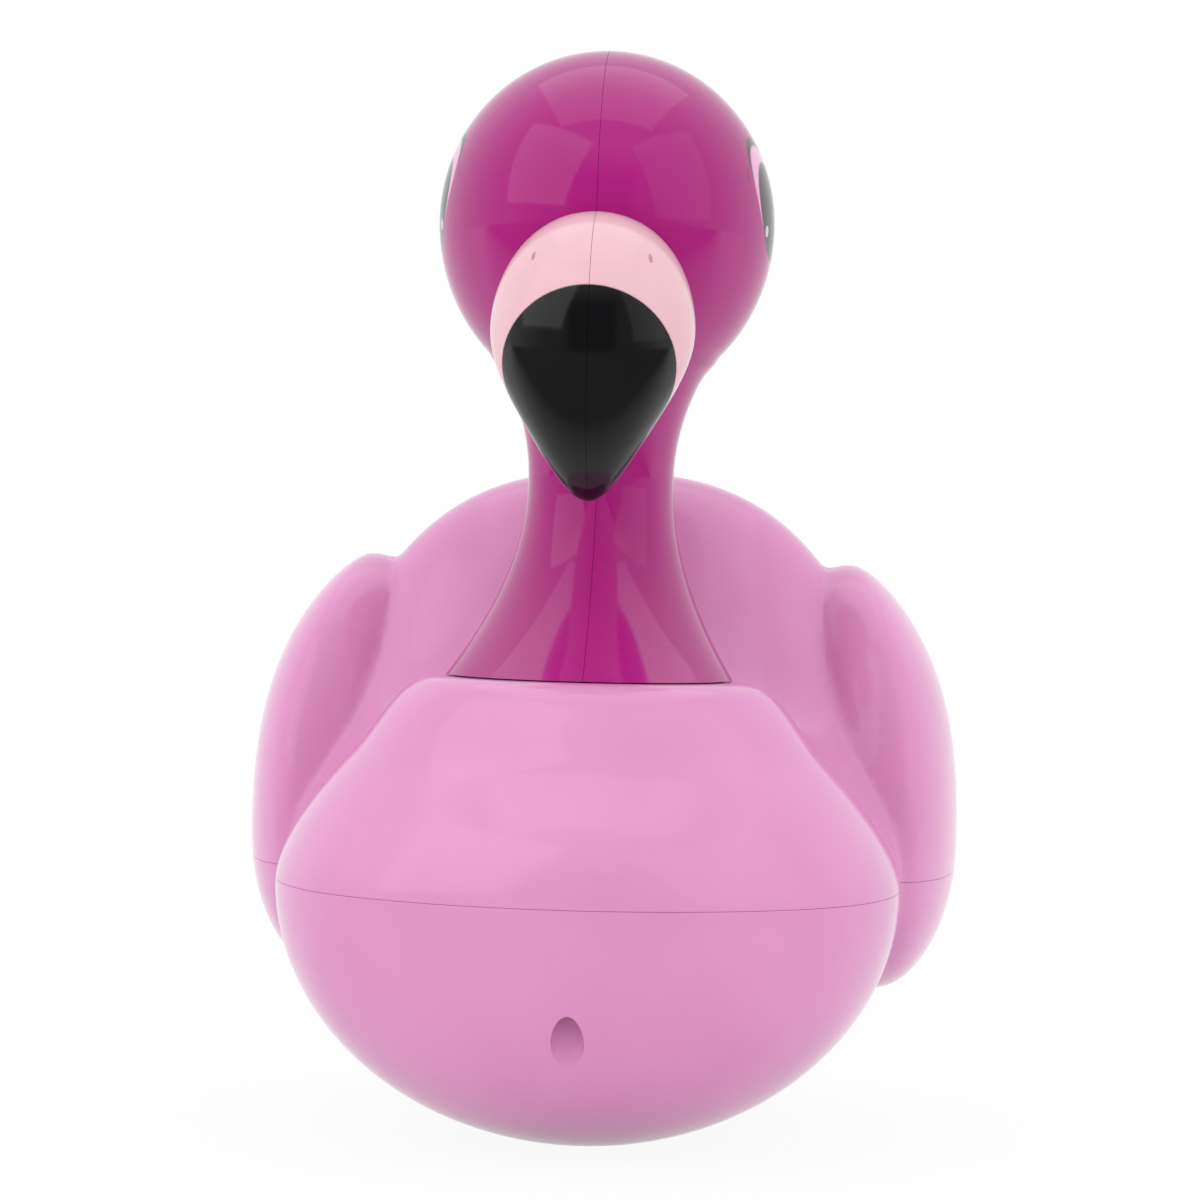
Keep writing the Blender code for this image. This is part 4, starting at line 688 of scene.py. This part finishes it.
def wingPoint(share, across, up, inset, side):
    girth = roundness(share)
    girth = girth ** wings["tipTaper"] if share > 0 else girth
    fullness = wings["topFullness"] if up > 0 else wings["footFullness"]
    reach = wings["up"] if up > 0 else wings["down"]
    rise = girth * fuller(up, fullness)
    y = (wings["frontY"] + wings["tipY"]) / 2 + ((wings["tipY"] - wings["frontY"]) / 2 - inset) * share
    behind = max(0.0, share) ** 2
    lean = wings["topLean"] * rise ** 3 if up > 0 else wings["footLean"] * rise ** 2
    bulge = wings["bulge"] if across > 0 else wings["innerBulge"]
    x = wings["x"] - lean - wings["tipTuck"] * behind + (bulge - inset) * girth * fuller(across, fullness)
    z = wings["z"] + wings["tipRise"] * behind + (reach - inset) * rise
    return Vector((side * x, y, z))


def tailPoint(share, across, up):
    girth = roundness(share)
    y = (tail["rootY"] + tail["tipY"]) / 2 + (tail["tipY"] - tail["rootY"]) / 2 * share
    z = tail["rootZ"] + (tail["tipZ"] - tail["rootZ"]) * ((share + 1) / 2) ** 2
    z += tail["halfHeight"] * (1 - tail["thinning"] * share) * girth * up
    return Vector((tail["halfWidth"] * girth * across, y, z))


def fairing(bm, side):
    x, z = side * drive["x"], drive["z"]
    front, rear = drive["tubeFront"] - drive["fairingInside"], drive["tubeRear"] - drive["fairingShort"]
    rodInto(bm, (x, front, z), (x, rear, z), drive["fairing"], steps=48)


def melted(inset, fineness, rounds, whole, spare=0.0):   # hull, wings and tail run into one skin
    bm = formed(*hull["facets"], lambda share, across, up: hullPoint(share, across, up, inset))
    for side in (1, -1):
        pour(bm, formed(*wings["facets"],
                        lambda share, across, up: wingPoint(share, across, up, inset + spare, side)))
        if whole:
            fairing(bm, side)
    if whole:
        pour(bm, formed(*tail["facets"], tailPoint))
    skin = meshPiece("skin", bm, helper=True)
    melt = skin.modifiers.new("melt", "REMESH")
    melt.mode = "VOXEL"
    melt.voxel_size = fineness
    calm = skin.modifiers.new("calm", "SMOOTH")
    calm.factor = hull["easeFactor"]
    calm.iterations = rounds
    applied(skin)
    return cut(skin, box((-reach, -reach, -reach), (reach, reach, inset)))


skin = melted(0.0, *hull["fine"], whole=True)
hollow = melted(hull["wall"], *hull["coarse"], whole=False, spare=wings["spareWall"])
columns = [rod((x, y, -2 * past), (x, y, seamZ + past), screwHoles["column"]) for x, y in screwPlaces]
rebate = melted(hull["rebate"], *hull["coarse"], whole=False)
combine(rebate, box((-reach, -reach, seamZ - hull["rebateHalf"]), (reach, reach, seamZ + hull["rebateHalf"])),
        "INTERSECT")
cut(rebate, *columns)
print("hull skin melted:", len(skin.data.polygons), "faces")

upper = cut(copyOf(skin, "upper"), box((-reach, -reach, -reach), (reach, reach, seamZ + hull["seamGap"])))
upperHollow = copyOf(hollow, "upper hollow")
helpers.append(upperHollow)
under, bossTop = seamZ - past, seamZ + screwHoles["bossHeight"]
ribHalf = screwHoles["rib"] / 2
for x, y in screwPlaces:   # bosses, tied to the wall by ribs
    cut(upperHollow, rod((x, y, under), (x, y, bossTop), screwHoles["boss"]))
    farX, farY = (math.copysign(reach, x), y) if x else (x, math.copysign(reach, y))
    sideX, sideY = (0.0, ribHalf) if x else (ribHalf, 0.0)
    cut(upperHollow, box((min(x, farX) - sideX, min(y, farY) - sideY, under),
                         (max(x, farX) + sideX, max(y, farY) + sideY, bossTop - screwHoles["rib"])))
neckForm = headForm(gap, *head["cutFacets"], closed=True)
neckSeat = meshPiece("neck seat", neckForm, helper=True)
neckSeat.data.transform(Matrix.Translation((0, 0, -0.5 * gap)))
neckHole = rod((0, 0, seatZ - 2 * past), (0, 0, seatZ + 0.2 * past), head["spigot"] + 4 * gap, steps=72)
squash = Matrix.Diagonal((1, head["seatHalfDepth"] / head["seatHalfWidth"], 1, 1))
neckHole.data.transform(Matrix.Translation((0, head["seatY"], 0)) @ squash)
cut(upper, upperHollow, rebate, neckSeat, neckHole)
for x, y in screwPlaces:
    cut(upper, rod((x, y, under), (x, y, seamZ + screwHoles["pilotDepth"]), screwHoles["pilot"]))
roundSeam(upper, hull["seamRound"], angle=60)
finish(upper, "upper_hull_with_wings", "pink_plastic", "toy", "hull_upper")


def coverOutline(grow, bottom, top):
    half = [size + grow for size in bay["coverHalf"]]
    plate = roundedPlate(half, bay["corner"], bottom, top, bay["y"], segments=10)
    for y in tabEnds:
        combine(plate, rod((0, y, bottom), (0, y, top), bay["tab"] + grow, steps=56), "UNION")
    return plate


lower = cut(copyOf(skin, "lower"), box((-reach, -reach, seamZ - hull["seamGap"]), (reach, reach, reach)))
roundSeam(lower, hull["seamRound"], angle=50)   # before the small cuts, whose short edges would stop it
cut(hollow, *columns, coverOutline(bay["recessWall"], -past, bay["recessTop"] + bay["recessWall"]))
wellWall = bay["wall"]
wellX, wellFront, wellRear = bay["halfWidth"], bay["y"] - bay["halfLength"], bay["y"] + bay["halfLength"]
cut(hollow, box((-wellX - wellWall, wellFront - wellWall, bay["recessTop"]),
                (wellX + wellWall, wellRear + wellWall, bay["top"] + wellWall)))
cradleHalf = drive["cradleHalf"]
cradleFront, cradleRear = drive["cradle"]
for side in (1, -1):
    bm = bmesh.new()
    fairing(bm, side)
    x = side * drive["x"]
    cut(hollow, meshPiece("sleeve", bm, helper=True))
    cut(hollow, box((x - cradleHalf, cradleFront, -past), (x + cradleHalf, cradleRear, drive["z"] - gap)))
cut(lower, hollow, rebate)
seat = seamZ - gap / 2 - screwHoles["floor"]
for x, y in screwPlaces:
    cut(lower, rod((x, y, -2 * past), (x, y, seat), screwHoles["radius"], steps=56))
    cut(lower, rod((x, y, 0.0), (x, y, seamZ + past), screwHoles["shank"]))
cut(lower, coverOutline(gap, -past, bay["recessTop"]))
cut(lower, box((-wellX, wellFront, bay["wellFrom"]), (wellX, wellRear, bay["top"])))
for y in tabEnds:
    cut(lower, rod((0, y, bay["wellFrom"]), (0, y, bay["recessTop"] + bay["tabPilot"]), screwHoles["pilot"]))
for side in (1, -1):
    x, z = side * drive["x"], drive["z"]
    tubeFront, tubeRear = drive["tubeFront"], drive["tubeRear"]
    cut(lower, rod((x, drive["motorFront"] - gap, z), (x, drive["motorRear"] + gap, z), drive["motor"] + gap))
    cut(lower, rod((x, tubeFront - past, z), (x, tubeRear + past, z), drive["tube"] + gap))
    cut(lower, rod((x, drive["couplingFront"], z), (x, tubeFront - gap, z), drive["coupling"] + 2 * gap))

switch = {
    "y": 0.0515, "slotHalf": (0.0048, 0.0023), "slotCorner": 0.0015, "slotTop": 0.006,
    "seatHalf": (0.0075, 0.0045), "seatCorner": 0.002, "seatDepth": 0.0011,
    "bodyHalf": (0.0073, 0.0041), "bodyBottom": 0.0038, "bodyHeight": 0.0105,
    "knobRound": 0.0004, "groovePitch": 0.0010, "grooveHalf": 0.0002, "grooveDepth": 0.0003,
}
contacts = {
    "x": 0.013, "y": 0.0505, "seat": 0.0033, "depth": 0.0012, "hole": 0.0015,
    "head": 0.0030, "headBack": 0.0009, "domeFrom": 0.0008, "domeRise": 0.0005, "domeSteps": 6,
    "stem": 0.0012, "stemTop": 0.009,
}
for side in (1, -1):
    x, y = side * contacts["x"], contacts["y"]
    cut(lower, rod((x, y, -past), (x, y, contacts["depth"]), contacts["seat"], steps=48))
    cut(lower, rod((x, y, -past), (x, y, 2 * past), contacts["hole"]))
bodyX, bodyY = switch["bodyHalf"]
bodyBottom = switch["bodyBottom"]
cut(lower, box((-bodyX, switch["y"] - bodyY, bodyBottom),
               (bodyX, switch["y"] + bodyY, bodyBottom + switch["bodyHeight"])))
cut(lower, roundedPlate(switch["slotHalf"], switch["slotCorner"], -past, switch["slotTop"], switch["y"]))
cut(lower, roundedPlate(switch["seatHalf"], switch["seatCorner"], -past, switch["seatDepth"], switch["y"]))
finish(lower, "lower_hull", "pink_plastic", "toy", "hull_lower")
print("hull halves made:", len(upper.data.polygons), "and", len(lower.data.polygons), "faces")


# battery cover and screws

cover = roundSeam(coverOutline(0.0, bay["coverBottom"], bay["coverTop"]), bay["edgeRound"], angle=50)
combine(cover, skin, "INTERSECT")
cut(cover, roundedPlate(bay["panelHalf"], bay["panelCorner"], bay["panelFrom"], 2 * past, bay["y"]))
for y in tabEnds:
    cut(cover, rod((0, y, -past), (0, y, bay["screwSeatTop"]), bay["screwSeat"], steps=48))
    cut(cover, rod((0, y, -past), (0, y, 2 * past), screwHoles["shank"]))
finish(cover, "battery_cover_plate", "pink_plastic", "cover", "battery_cover")

screwLook = {
    "head": 0.0029, "headHeight": 0.0019, "shank": 0.00115, "point": 0.0014,
    "slotHalf": (0.00034, 0.0017), "slotDepth": 0.0012,
    # the pan head, as shares of its radius and height
    "backEdge": 0.98, "edgeHeight": 0.12, "domeFrom": 0.4, "domeSquare": 0.6, "domeSteps": 7,
}


def crossScrew(name, node, body):   # pan head with a cross recess, head downwards
    look = screwLook
    low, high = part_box(node)
    r, h, shank = look["head"], look["headHeight"], look["shank"]
    headTop = low.z + h
    end = high.z - headTop
    profile = [(0.0, end), (shank, end - look["point"]), (shank, 0.0),
               (r * look["backEdge"], 0.0), (r, -look["edgeHeight"] * h)]
    steps, start = look["domeSteps"], look["domeFrom"]
    for i in range(1, steps + 1):
        turn = math.pi / 2 * i / steps
        radius = r * math.cos(turn) ** look["domeSquare"] if i < steps else 0.0
        profile.append((radius, -start * h - (1 - start) * h * math.sin(turn)))
    screw = meshPiece("screw", spun(profile, steps=48))
    halfWidth, halfLength = look["slotHalf"]
    depth = -h + look["slotDepth"]
    cut(screw, box((-halfWidth, -halfLength, -2 * h), (halfWidth, halfLength, depth)))
    cut(screw, box((-halfLength, -halfWidth, -2 * h), (halfLength, halfWidth, depth)))
    screw.data.transform(Matrix.Translation(((low.x + high.x) / 2, (low.y + high.y) / 2, headTop)))
    return finish(screw, name, "steel", body, node, sharp=30)


for place in screwHoles["places"]:
    crossScrew("cross_screw_" + place, "hull_screw_" + place, "toy")
for end in ("front", "rear"):
    crossScrew("cover_cross_screw_" + end, "cover_screw_" + end, "cover")
print("cover and screws made")


# propellers, guards and stern tubes

propeller = {
    "radius": 0.0115, "front": 0.0895, "length": 0.010,
    # radius of the hub and share of its length
    "hub": ((0.0, 0.0), (0.0028, 0.0), (0.0031, 0.03), (0.0033, 0.3), (0.0030, 0.75), (0.0022, 0.92),
            (0.0012, 0.985), (0.0, 1.0)),
    "blades": 3, "blade": 0.0010, "bladeFoot": 0.0022, "facets": (10, 12),
    "pitch": 58.0, "untwist": 30.0,   # degrees at the foot, and less by this at the tip
    "chord": 0.0085, "chordFoot": 0.75, "chordGain": 0.55, "tipRound": 0.9, "tipLeast": 0.04,
}
guard = {
    "bore": 0.013, "wall": 0.0016, "front": 0.0905, "rear": 0.1045, "lip": 0.0005,
    "hub": 0.0033, "hubEdge": 0.0004, "hubRear": 0.0002, "hubFront": 0.0024, "bar": 0.0009, "barIn": 0.0012,
    "postHalf": 0.0022, "postLength": 0.006, "postFoot": 0.0006, "postRound": 0.0008, "postUnderSeam": 0.006,
}


def bladePoint(across, along, side):
    look = propeller
    radius = look["bladeFoot"] + (look["radius"] - look["bladeFoot"]) * along
    twist = math.radians(look["pitch"] - look["untwist"] * along) * side
    tip = math.sqrt(max(look["tipLeast"], 1 - look["tipRound"] * along ** 4))
    chord = look["chord"] * (look["chordFoot"] + look["chordGain"] * along) * tip
    swing = across * chord * math.cos(twist) / radius
    return Vector((radius * math.sin(swing), across * chord * math.sin(twist), radius * math.cos(swing)))


def bladedPropeller(side):
    look = propeller
    bm = spun([(radius, -share * look["length"]) for radius, share in look["hub"]], steps=48)
    layBack(bm, 0, look["front"], 0)
    middle = Matrix.Translation((0, look["front"] + 0.5 * look["length"], 0))
    across, along = look["facets"]
    for index in range(look["blades"]):
        leaf = bmesh.new()
        bmesh.ops.create_grid(leaf, x_segments=across, y_segments=along, size=0.5)
        for vert in leaf.verts:
            vert.co = bladePoint(vert.co.x, vert.co.y + 0.5, side)
        leaf.normal_update()
        bmesh.ops.solidify(leaf, geom=leaf.faces[:], thickness=look["blade"])
        leaf.transform(middle @ Matrix.Rotation(2 * math.pi / look["blades"] * index, 4, "Y"))
        bmesh.ops.recalc_face_normals(leaf, faces=leaf.faces)
        pour(bm, leaf)
    bm.transform(Matrix.Translation((side * drive["x"], 0, drive["z"])))
    return meshPiece("propeller", bm)


def roundGuard(side):   # a ring with a hub on three bars, hung from the stern by a post
    look = guard
    x, z = side * drive["x"], drive["z"]
    inner, outer = look["bore"], look["bore"] + look["wall"]
    front, rear, lip = -look["front"], -look["rear"], look["lip"]
    bm = spun([(inner + lip, front), (outer - lip, front), (outer, front - lip), (outer, rear + lip),
               (outer - lip, rear), (inner + lip, rear), (inner, rear + lip), (inner, front - lip),
               (inner + lip, front)], steps=96)
    hub, edge = look["hub"], look["hubEdge"]
    hubFront, hubRear = rear + look["hubFront"], rear + look["hubRear"]
    pour(bm, spun([(0.0, hubFront), (hub - edge, hubFront), (hub, hubFront - edge), (hub, hubRear + edge),
                   (hub - edge, hubRear), (0.0, hubRear)], steps=40))
    layBack(bm, x, 0, z)
    y = look["rear"] - look["barIn"]
    barEnd = look["bore"] + 0.5 * look["wall"]
    for index in range(3):
        angle = math.radians(90 + 120 * index)
        end = (x + barEnd * math.cos(angle), y, z + barEnd * math.sin(angle))
        rodInto(bm, (x, y, z), end, look["bar"], steps=20)
    post = box((x - look["postHalf"], look["front"], z + look["bore"] + look["postFoot"]),
               (x + look["postHalf"], look["front"] + look["postLength"], seamZ - look["postUnderSeam"]))
    roundSeam(post, look["postRound"], angle=60, segments=3)
    cut(post, skin)
    bm.from_mesh(post.data)
    return meshPiece("guard", bm)


def sternTube(side):
    bore, r = drive["tubeBore"], drive["tube"]
    frontEdge, rearEdge = drive["tubeFrontEdge"], drive["tubeRearEdge"]
    front, rear = -drive["tubeFront"], -drive["tubeRear"]
    bm = spun([(bore, front), (r - frontEdge, front), (r, front - frontEdge), (r, rear + rearEdge),
               (r - rearEdge, rear), (bore, rear), (bore, front)], steps=48)
    layBack(bm, side * drive["x"], 0, drive["z"])
    return meshPiece("tube", bm)


def domedContact(side):
    look = contacts
    profile = [(0.0, look["stemTop"]), (look["stem"], look["stemTop"]), (look["stem"], look["headBack"]),
               (look["head"], look["headBack"])]
    for i in range(look["domeSteps"] + 1):
        turn = math.pi / 2 * i / look["domeSteps"]
        radius = look["head"] * math.cos(turn) if i < look["domeSteps"] else 0.0
        profile.append((radius, look["domeFrom"] - look["domeRise"] * math.sin(turn)))
    bm = spun(profile, steps=40)
    bm.transform(Matrix.Translation((side * look["x"], look["y"], 0)))
    return meshPiece("contact", bm)


for name, side in sides:
    finish(bladedPropeller(side), "bladed_propeller_" + name, "white_plastic",
           "propeller_drive_" + name, "propeller_" + name)
    finish(roundGuard(side), "round_guard_" + name, "grey_plastic", "toy", "propeller_guard_" + name)
    finish(sternTube(side), "brass_tube_" + name, "brass", "toy", "stern_tube_" + name)
    finish(domedContact(side), "domed_contact_" + name, "steel", "toy", "water_contact_" + name)

low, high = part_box("switch_knob")
knob = roundSeam(box(low, high), switch["knobRound"], angle=60, segments=3)
grooveHalf, clear = switch["grooveHalf"], 0.1 * past
for step in (-1, 0, 1):   # grooves that leave grip ribs
    x = (low.x + high.x) / 2 + step * switch["groovePitch"]
    cut(knob, box((x - grooveHalf, low.y - clear, low.z - clear),
                  (x + grooveHalf, high.y + clear, low.z + switch["grooveDepth"])))
finish(knob, "ribbed_knob", "black_plastic", "switch", "switch_knob", sharp=30)
print("drive and switch made")


# battery cells

cellLook = {
    "nub": ((0.0, 0.0), (0.0022, 0.0), (0.0026, 0.0003), (0.0026, 0.0012)),   # radius, and down from the tip
    # in from the side, and down from the shoulder or up from the base
    "shoulder": ((0.0010, 0.0), (0.0003, 0.0002), (0.0, 0.0008)),
    "base": ((0.0, 0.0007), (0.0004, 0.0002), (0.0010, 0.0), (0.0016, 0.0002)), "dish": 0.0002,
    "wrapLap": 0.0011,   # how far the wrap reaches in over the ends
}
for index in (1, 2, 3):
    node = "battery_cell_%d" % index
    low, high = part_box(node)
    r, length = (high.x - low.x) / 2, high.y - low.y
    shoulder = length - cellLook["nub"][-1][1]
    profile = [(radius, length - down) for radius, down in cellLook["nub"]]
    profile += [(r - across, shoulder - down) for across, down in cellLook["shoulder"]]
    profile += [(r - across, up) for across, up in cellLook["base"]]
    profile.append((0.0, cellLook["dish"]))
    facing = 1 if index % 2 else -1
    bm = spun(profile, steps=56)
    start = Vector(((low.x + high.x) / 2, high.y if facing == 1 else low.y, (low.z + high.z) / 2))
    bm.transform(Matrix.Translation(start) @ Matrix.Rotation(math.pi / 2 * facing, 4, "X"))
    cell = finish(meshPiece("cell", bm), "wrapped_cell_%d" % index, "cell_wrap", "toy", node)
    cell.data.materials.append(slotMaterials["steel"])
    for face in cell.data.polygons:   # bare metal at both ends
        if math.hypot(face.center.x - start.x, face.center.z - start.z) < r - cellLook["wrapLap"]:
            face.material_index = 1
print("cells made")

for helper in helpers:
    bpy.data.objects.remove(helper, do_unlink=True)


# floor, light and camera

studio = {
    "floorSize": 6.0, "floorTone": 0.90, "floorRough": 0.9, "floorGlow": 0.93, "fade": (0.14, 0.40),
    "worldLight": 0.96,
    # the tent as the gloss shows it: dim on the camera's side, darkest in the slit where the camera stands
    "frontDim": 0.16, "frontEdge": (-0.75, 0.45), "slitDim": 0.20, "slitEdge": (0.30, 0.42),
    "slitDepth": (-0.55, -0.25), "overhead": (0.45, 0.80), "overheadGlow": 0.50, "floorFront": (-0.35, 0.04),
    # place, aim, size across and up, watts
    "lamps": (
        ((-1.0, -0.9, 1.1), (0.0, 0.0, 0.12), 1.4, 1.4, 4.0),
        ((1.1, -0.7, 0.9), (0.0, 0.0, 0.12), 1.2, 1.4, 1.5),
        ((0.0, 0.2, 1.7), (0.0, 0.0, 0.10), 1.6, 1.6, 4.0),
    ),
}
bm = bmesh.new()
bmesh.ops.create_grid(bm, x_segments=1, y_segments=1, size=studio["floorSize"])
floor = meshPiece("floor", bm)


def directRay(tree):   # what is seen straight, in a mirror or through glass, and then the mirror alone
    path = addNode(tree, "LightPath").outputs
    both = calculate(tree, "MAXIMUM", path["Is Camera Ray"], path["Is Glossy Ray"])
    return calculate(tree, "MAXIMUM", both, path["Is Transmission Ray"]), path["Is Glossy Ray"]


paper = bpy.data.materials.new("white paper floor")
paper.use_nodes = True
tree = paper.node_tree
sheet = tree.nodes["Principled BSDF"]
sheet.inputs["Base Color"].default_value = [studio["floorTone"]] * 3 + [1.0]
sheet.inputs["Roughness"].default_value = studio["floorRough"]
glow = addNode(tree, "Emission", {"Color": (1, 1, 1, 1), "Strength": 1.0})
spot = addNode(tree, "TexCoord").outputs["Object"]
off = addNode(tree, "VectorMath", {"operation": "LENGTH"}, in0=spot).outputs["Value"]
whiter = spread(tree, off, *studio["fade"], studio["floorGlow"], 1.0)   # pure white further off
direct, glossy = directRay(tree)
forward = addNode(tree, "SeparateXYZ", Vector=spot).outputs["Y"]
nearer = spread(tree, forward, *studio["floorFront"], 1.0 - studio["frontDim"], 0.0)
shade = calculate(tree, "MULTIPLY", glossy, nearer)
part = calculate(tree, "MULTIPLY", direct, calculate(tree, "MAXIMUM", whiter, shade))
tree.links.new(spread(tree, shade, 0.0, 1.0, 1.0, 0.0), glow.inputs["Strength"])
blend = addNode(tree, "MixShader", Fac=part, in1=sheet.outputs[0], in2=glow.outputs[0])
tree.links.new(blend.outputs[0], tree.nodes["Material Output"].inputs["Surface"])
floor.data.materials.append(paper)

world = bpy.data.worlds.new("white studio")
scene.world = world
world.use_nodes = True
tree = world.node_tree
way = addNode(tree, "SeparateXYZ", Vector=addNode(tree, "TexCoord").outputs["Generated"])
front = spread(tree, way.outputs["Y"], *studio["frontEdge"], studio["frontDim"], 1.0)
across = addNode(tree, "Math", {"operation": "ABSOLUTE"}, in0=way.outputs["X"]).outputs[0]
slit = calculate(tree, "MAXIMUM", spread(tree, across, *studio["slitEdge"], studio["slitDim"], 1.0),
                 spread(tree, way.outputs["Y"], *studio["slitDepth"]))
above = spread(tree, way.outputs["Z"], *studio["overhead"], 0.0, studio["overheadGlow"])
direct, glossy = directRay(tree)
seen = spread(tree, glossy, 0.0, 1.0, 1.0, 0.0)   # white straight on, the dimmed tent in the gloss
mirrored = calculate(tree, "MAXIMUM", above, calculate(tree, "MULTIPLY", front, slit))
seen = calculate(tree, "ADD", seen, calculate(tree, "MULTIPLY", glossy, mirrored))
plain = spread(tree, direct, 0.0, 1.0, studio["worldLight"], 0.0)
strength = calculate(tree, "ADD", plain, calculate(tree, "MULTIPLY", direct, seen))
tree.nodes["Background"].inputs["Color"].default_value = (1, 1, 1, 1)
tree.links.new(strength, tree.nodes["Background"].inputs["Strength"])

for index, (place, aim, across, upright, watts) in enumerate(studio["lamps"]):
    lamp = bpy.data.lights.new("softbox %d" % (index + 1), "AREA")
    lamp.shape = "RECTANGLE"
    lamp.size, lamp.size_y, lamp.energy = across, upright, watts
    stand = bpy.data.objects.new(lamp.name, lamp)
    stand.location = place
    stand.rotation_euler = (Vector(aim) - Vector(place)).to_track_quat("-Z", "Y").to_euler()
    scene.collection.objects.link(stand)

# metres and degrees
shot = {
    "distance": 1.27, "aim": (-0.0009, 0.0, 0.1355),
    "azimuth": 3.40, "elevation": 2.0, "roll": 1.37, "view": 13.92,
}
azimuth, elevation = math.radians(shot["azimuth"]), math.radians(shot["elevation"])
level = math.cos(elevation)
away = Vector((math.sin(azimuth) * level, -math.cos(azimuth) * level, math.sin(elevation)))
lens = bpy.data.cameras.new("camera")
lens.sensor_fit = "HORIZONTAL"
lens.angle = math.radians(shot["view"])
camera = bpy.data.objects.new("camera", lens)
camera.location = Vector(shot["aim"]) + away * shot["distance"]
facing = (-away).to_track_quat("-Z", "Y").to_matrix().to_4x4()
facing = facing @ Matrix.Rotation(math.radians(shot["roll"]), 4, "Z")
camera.rotation_euler = facing.to_euler()
scene.collection.objects.link(camera)
scene.camera = camera
scene.view_settings.view_transform = "Standard"

print("scene ready")
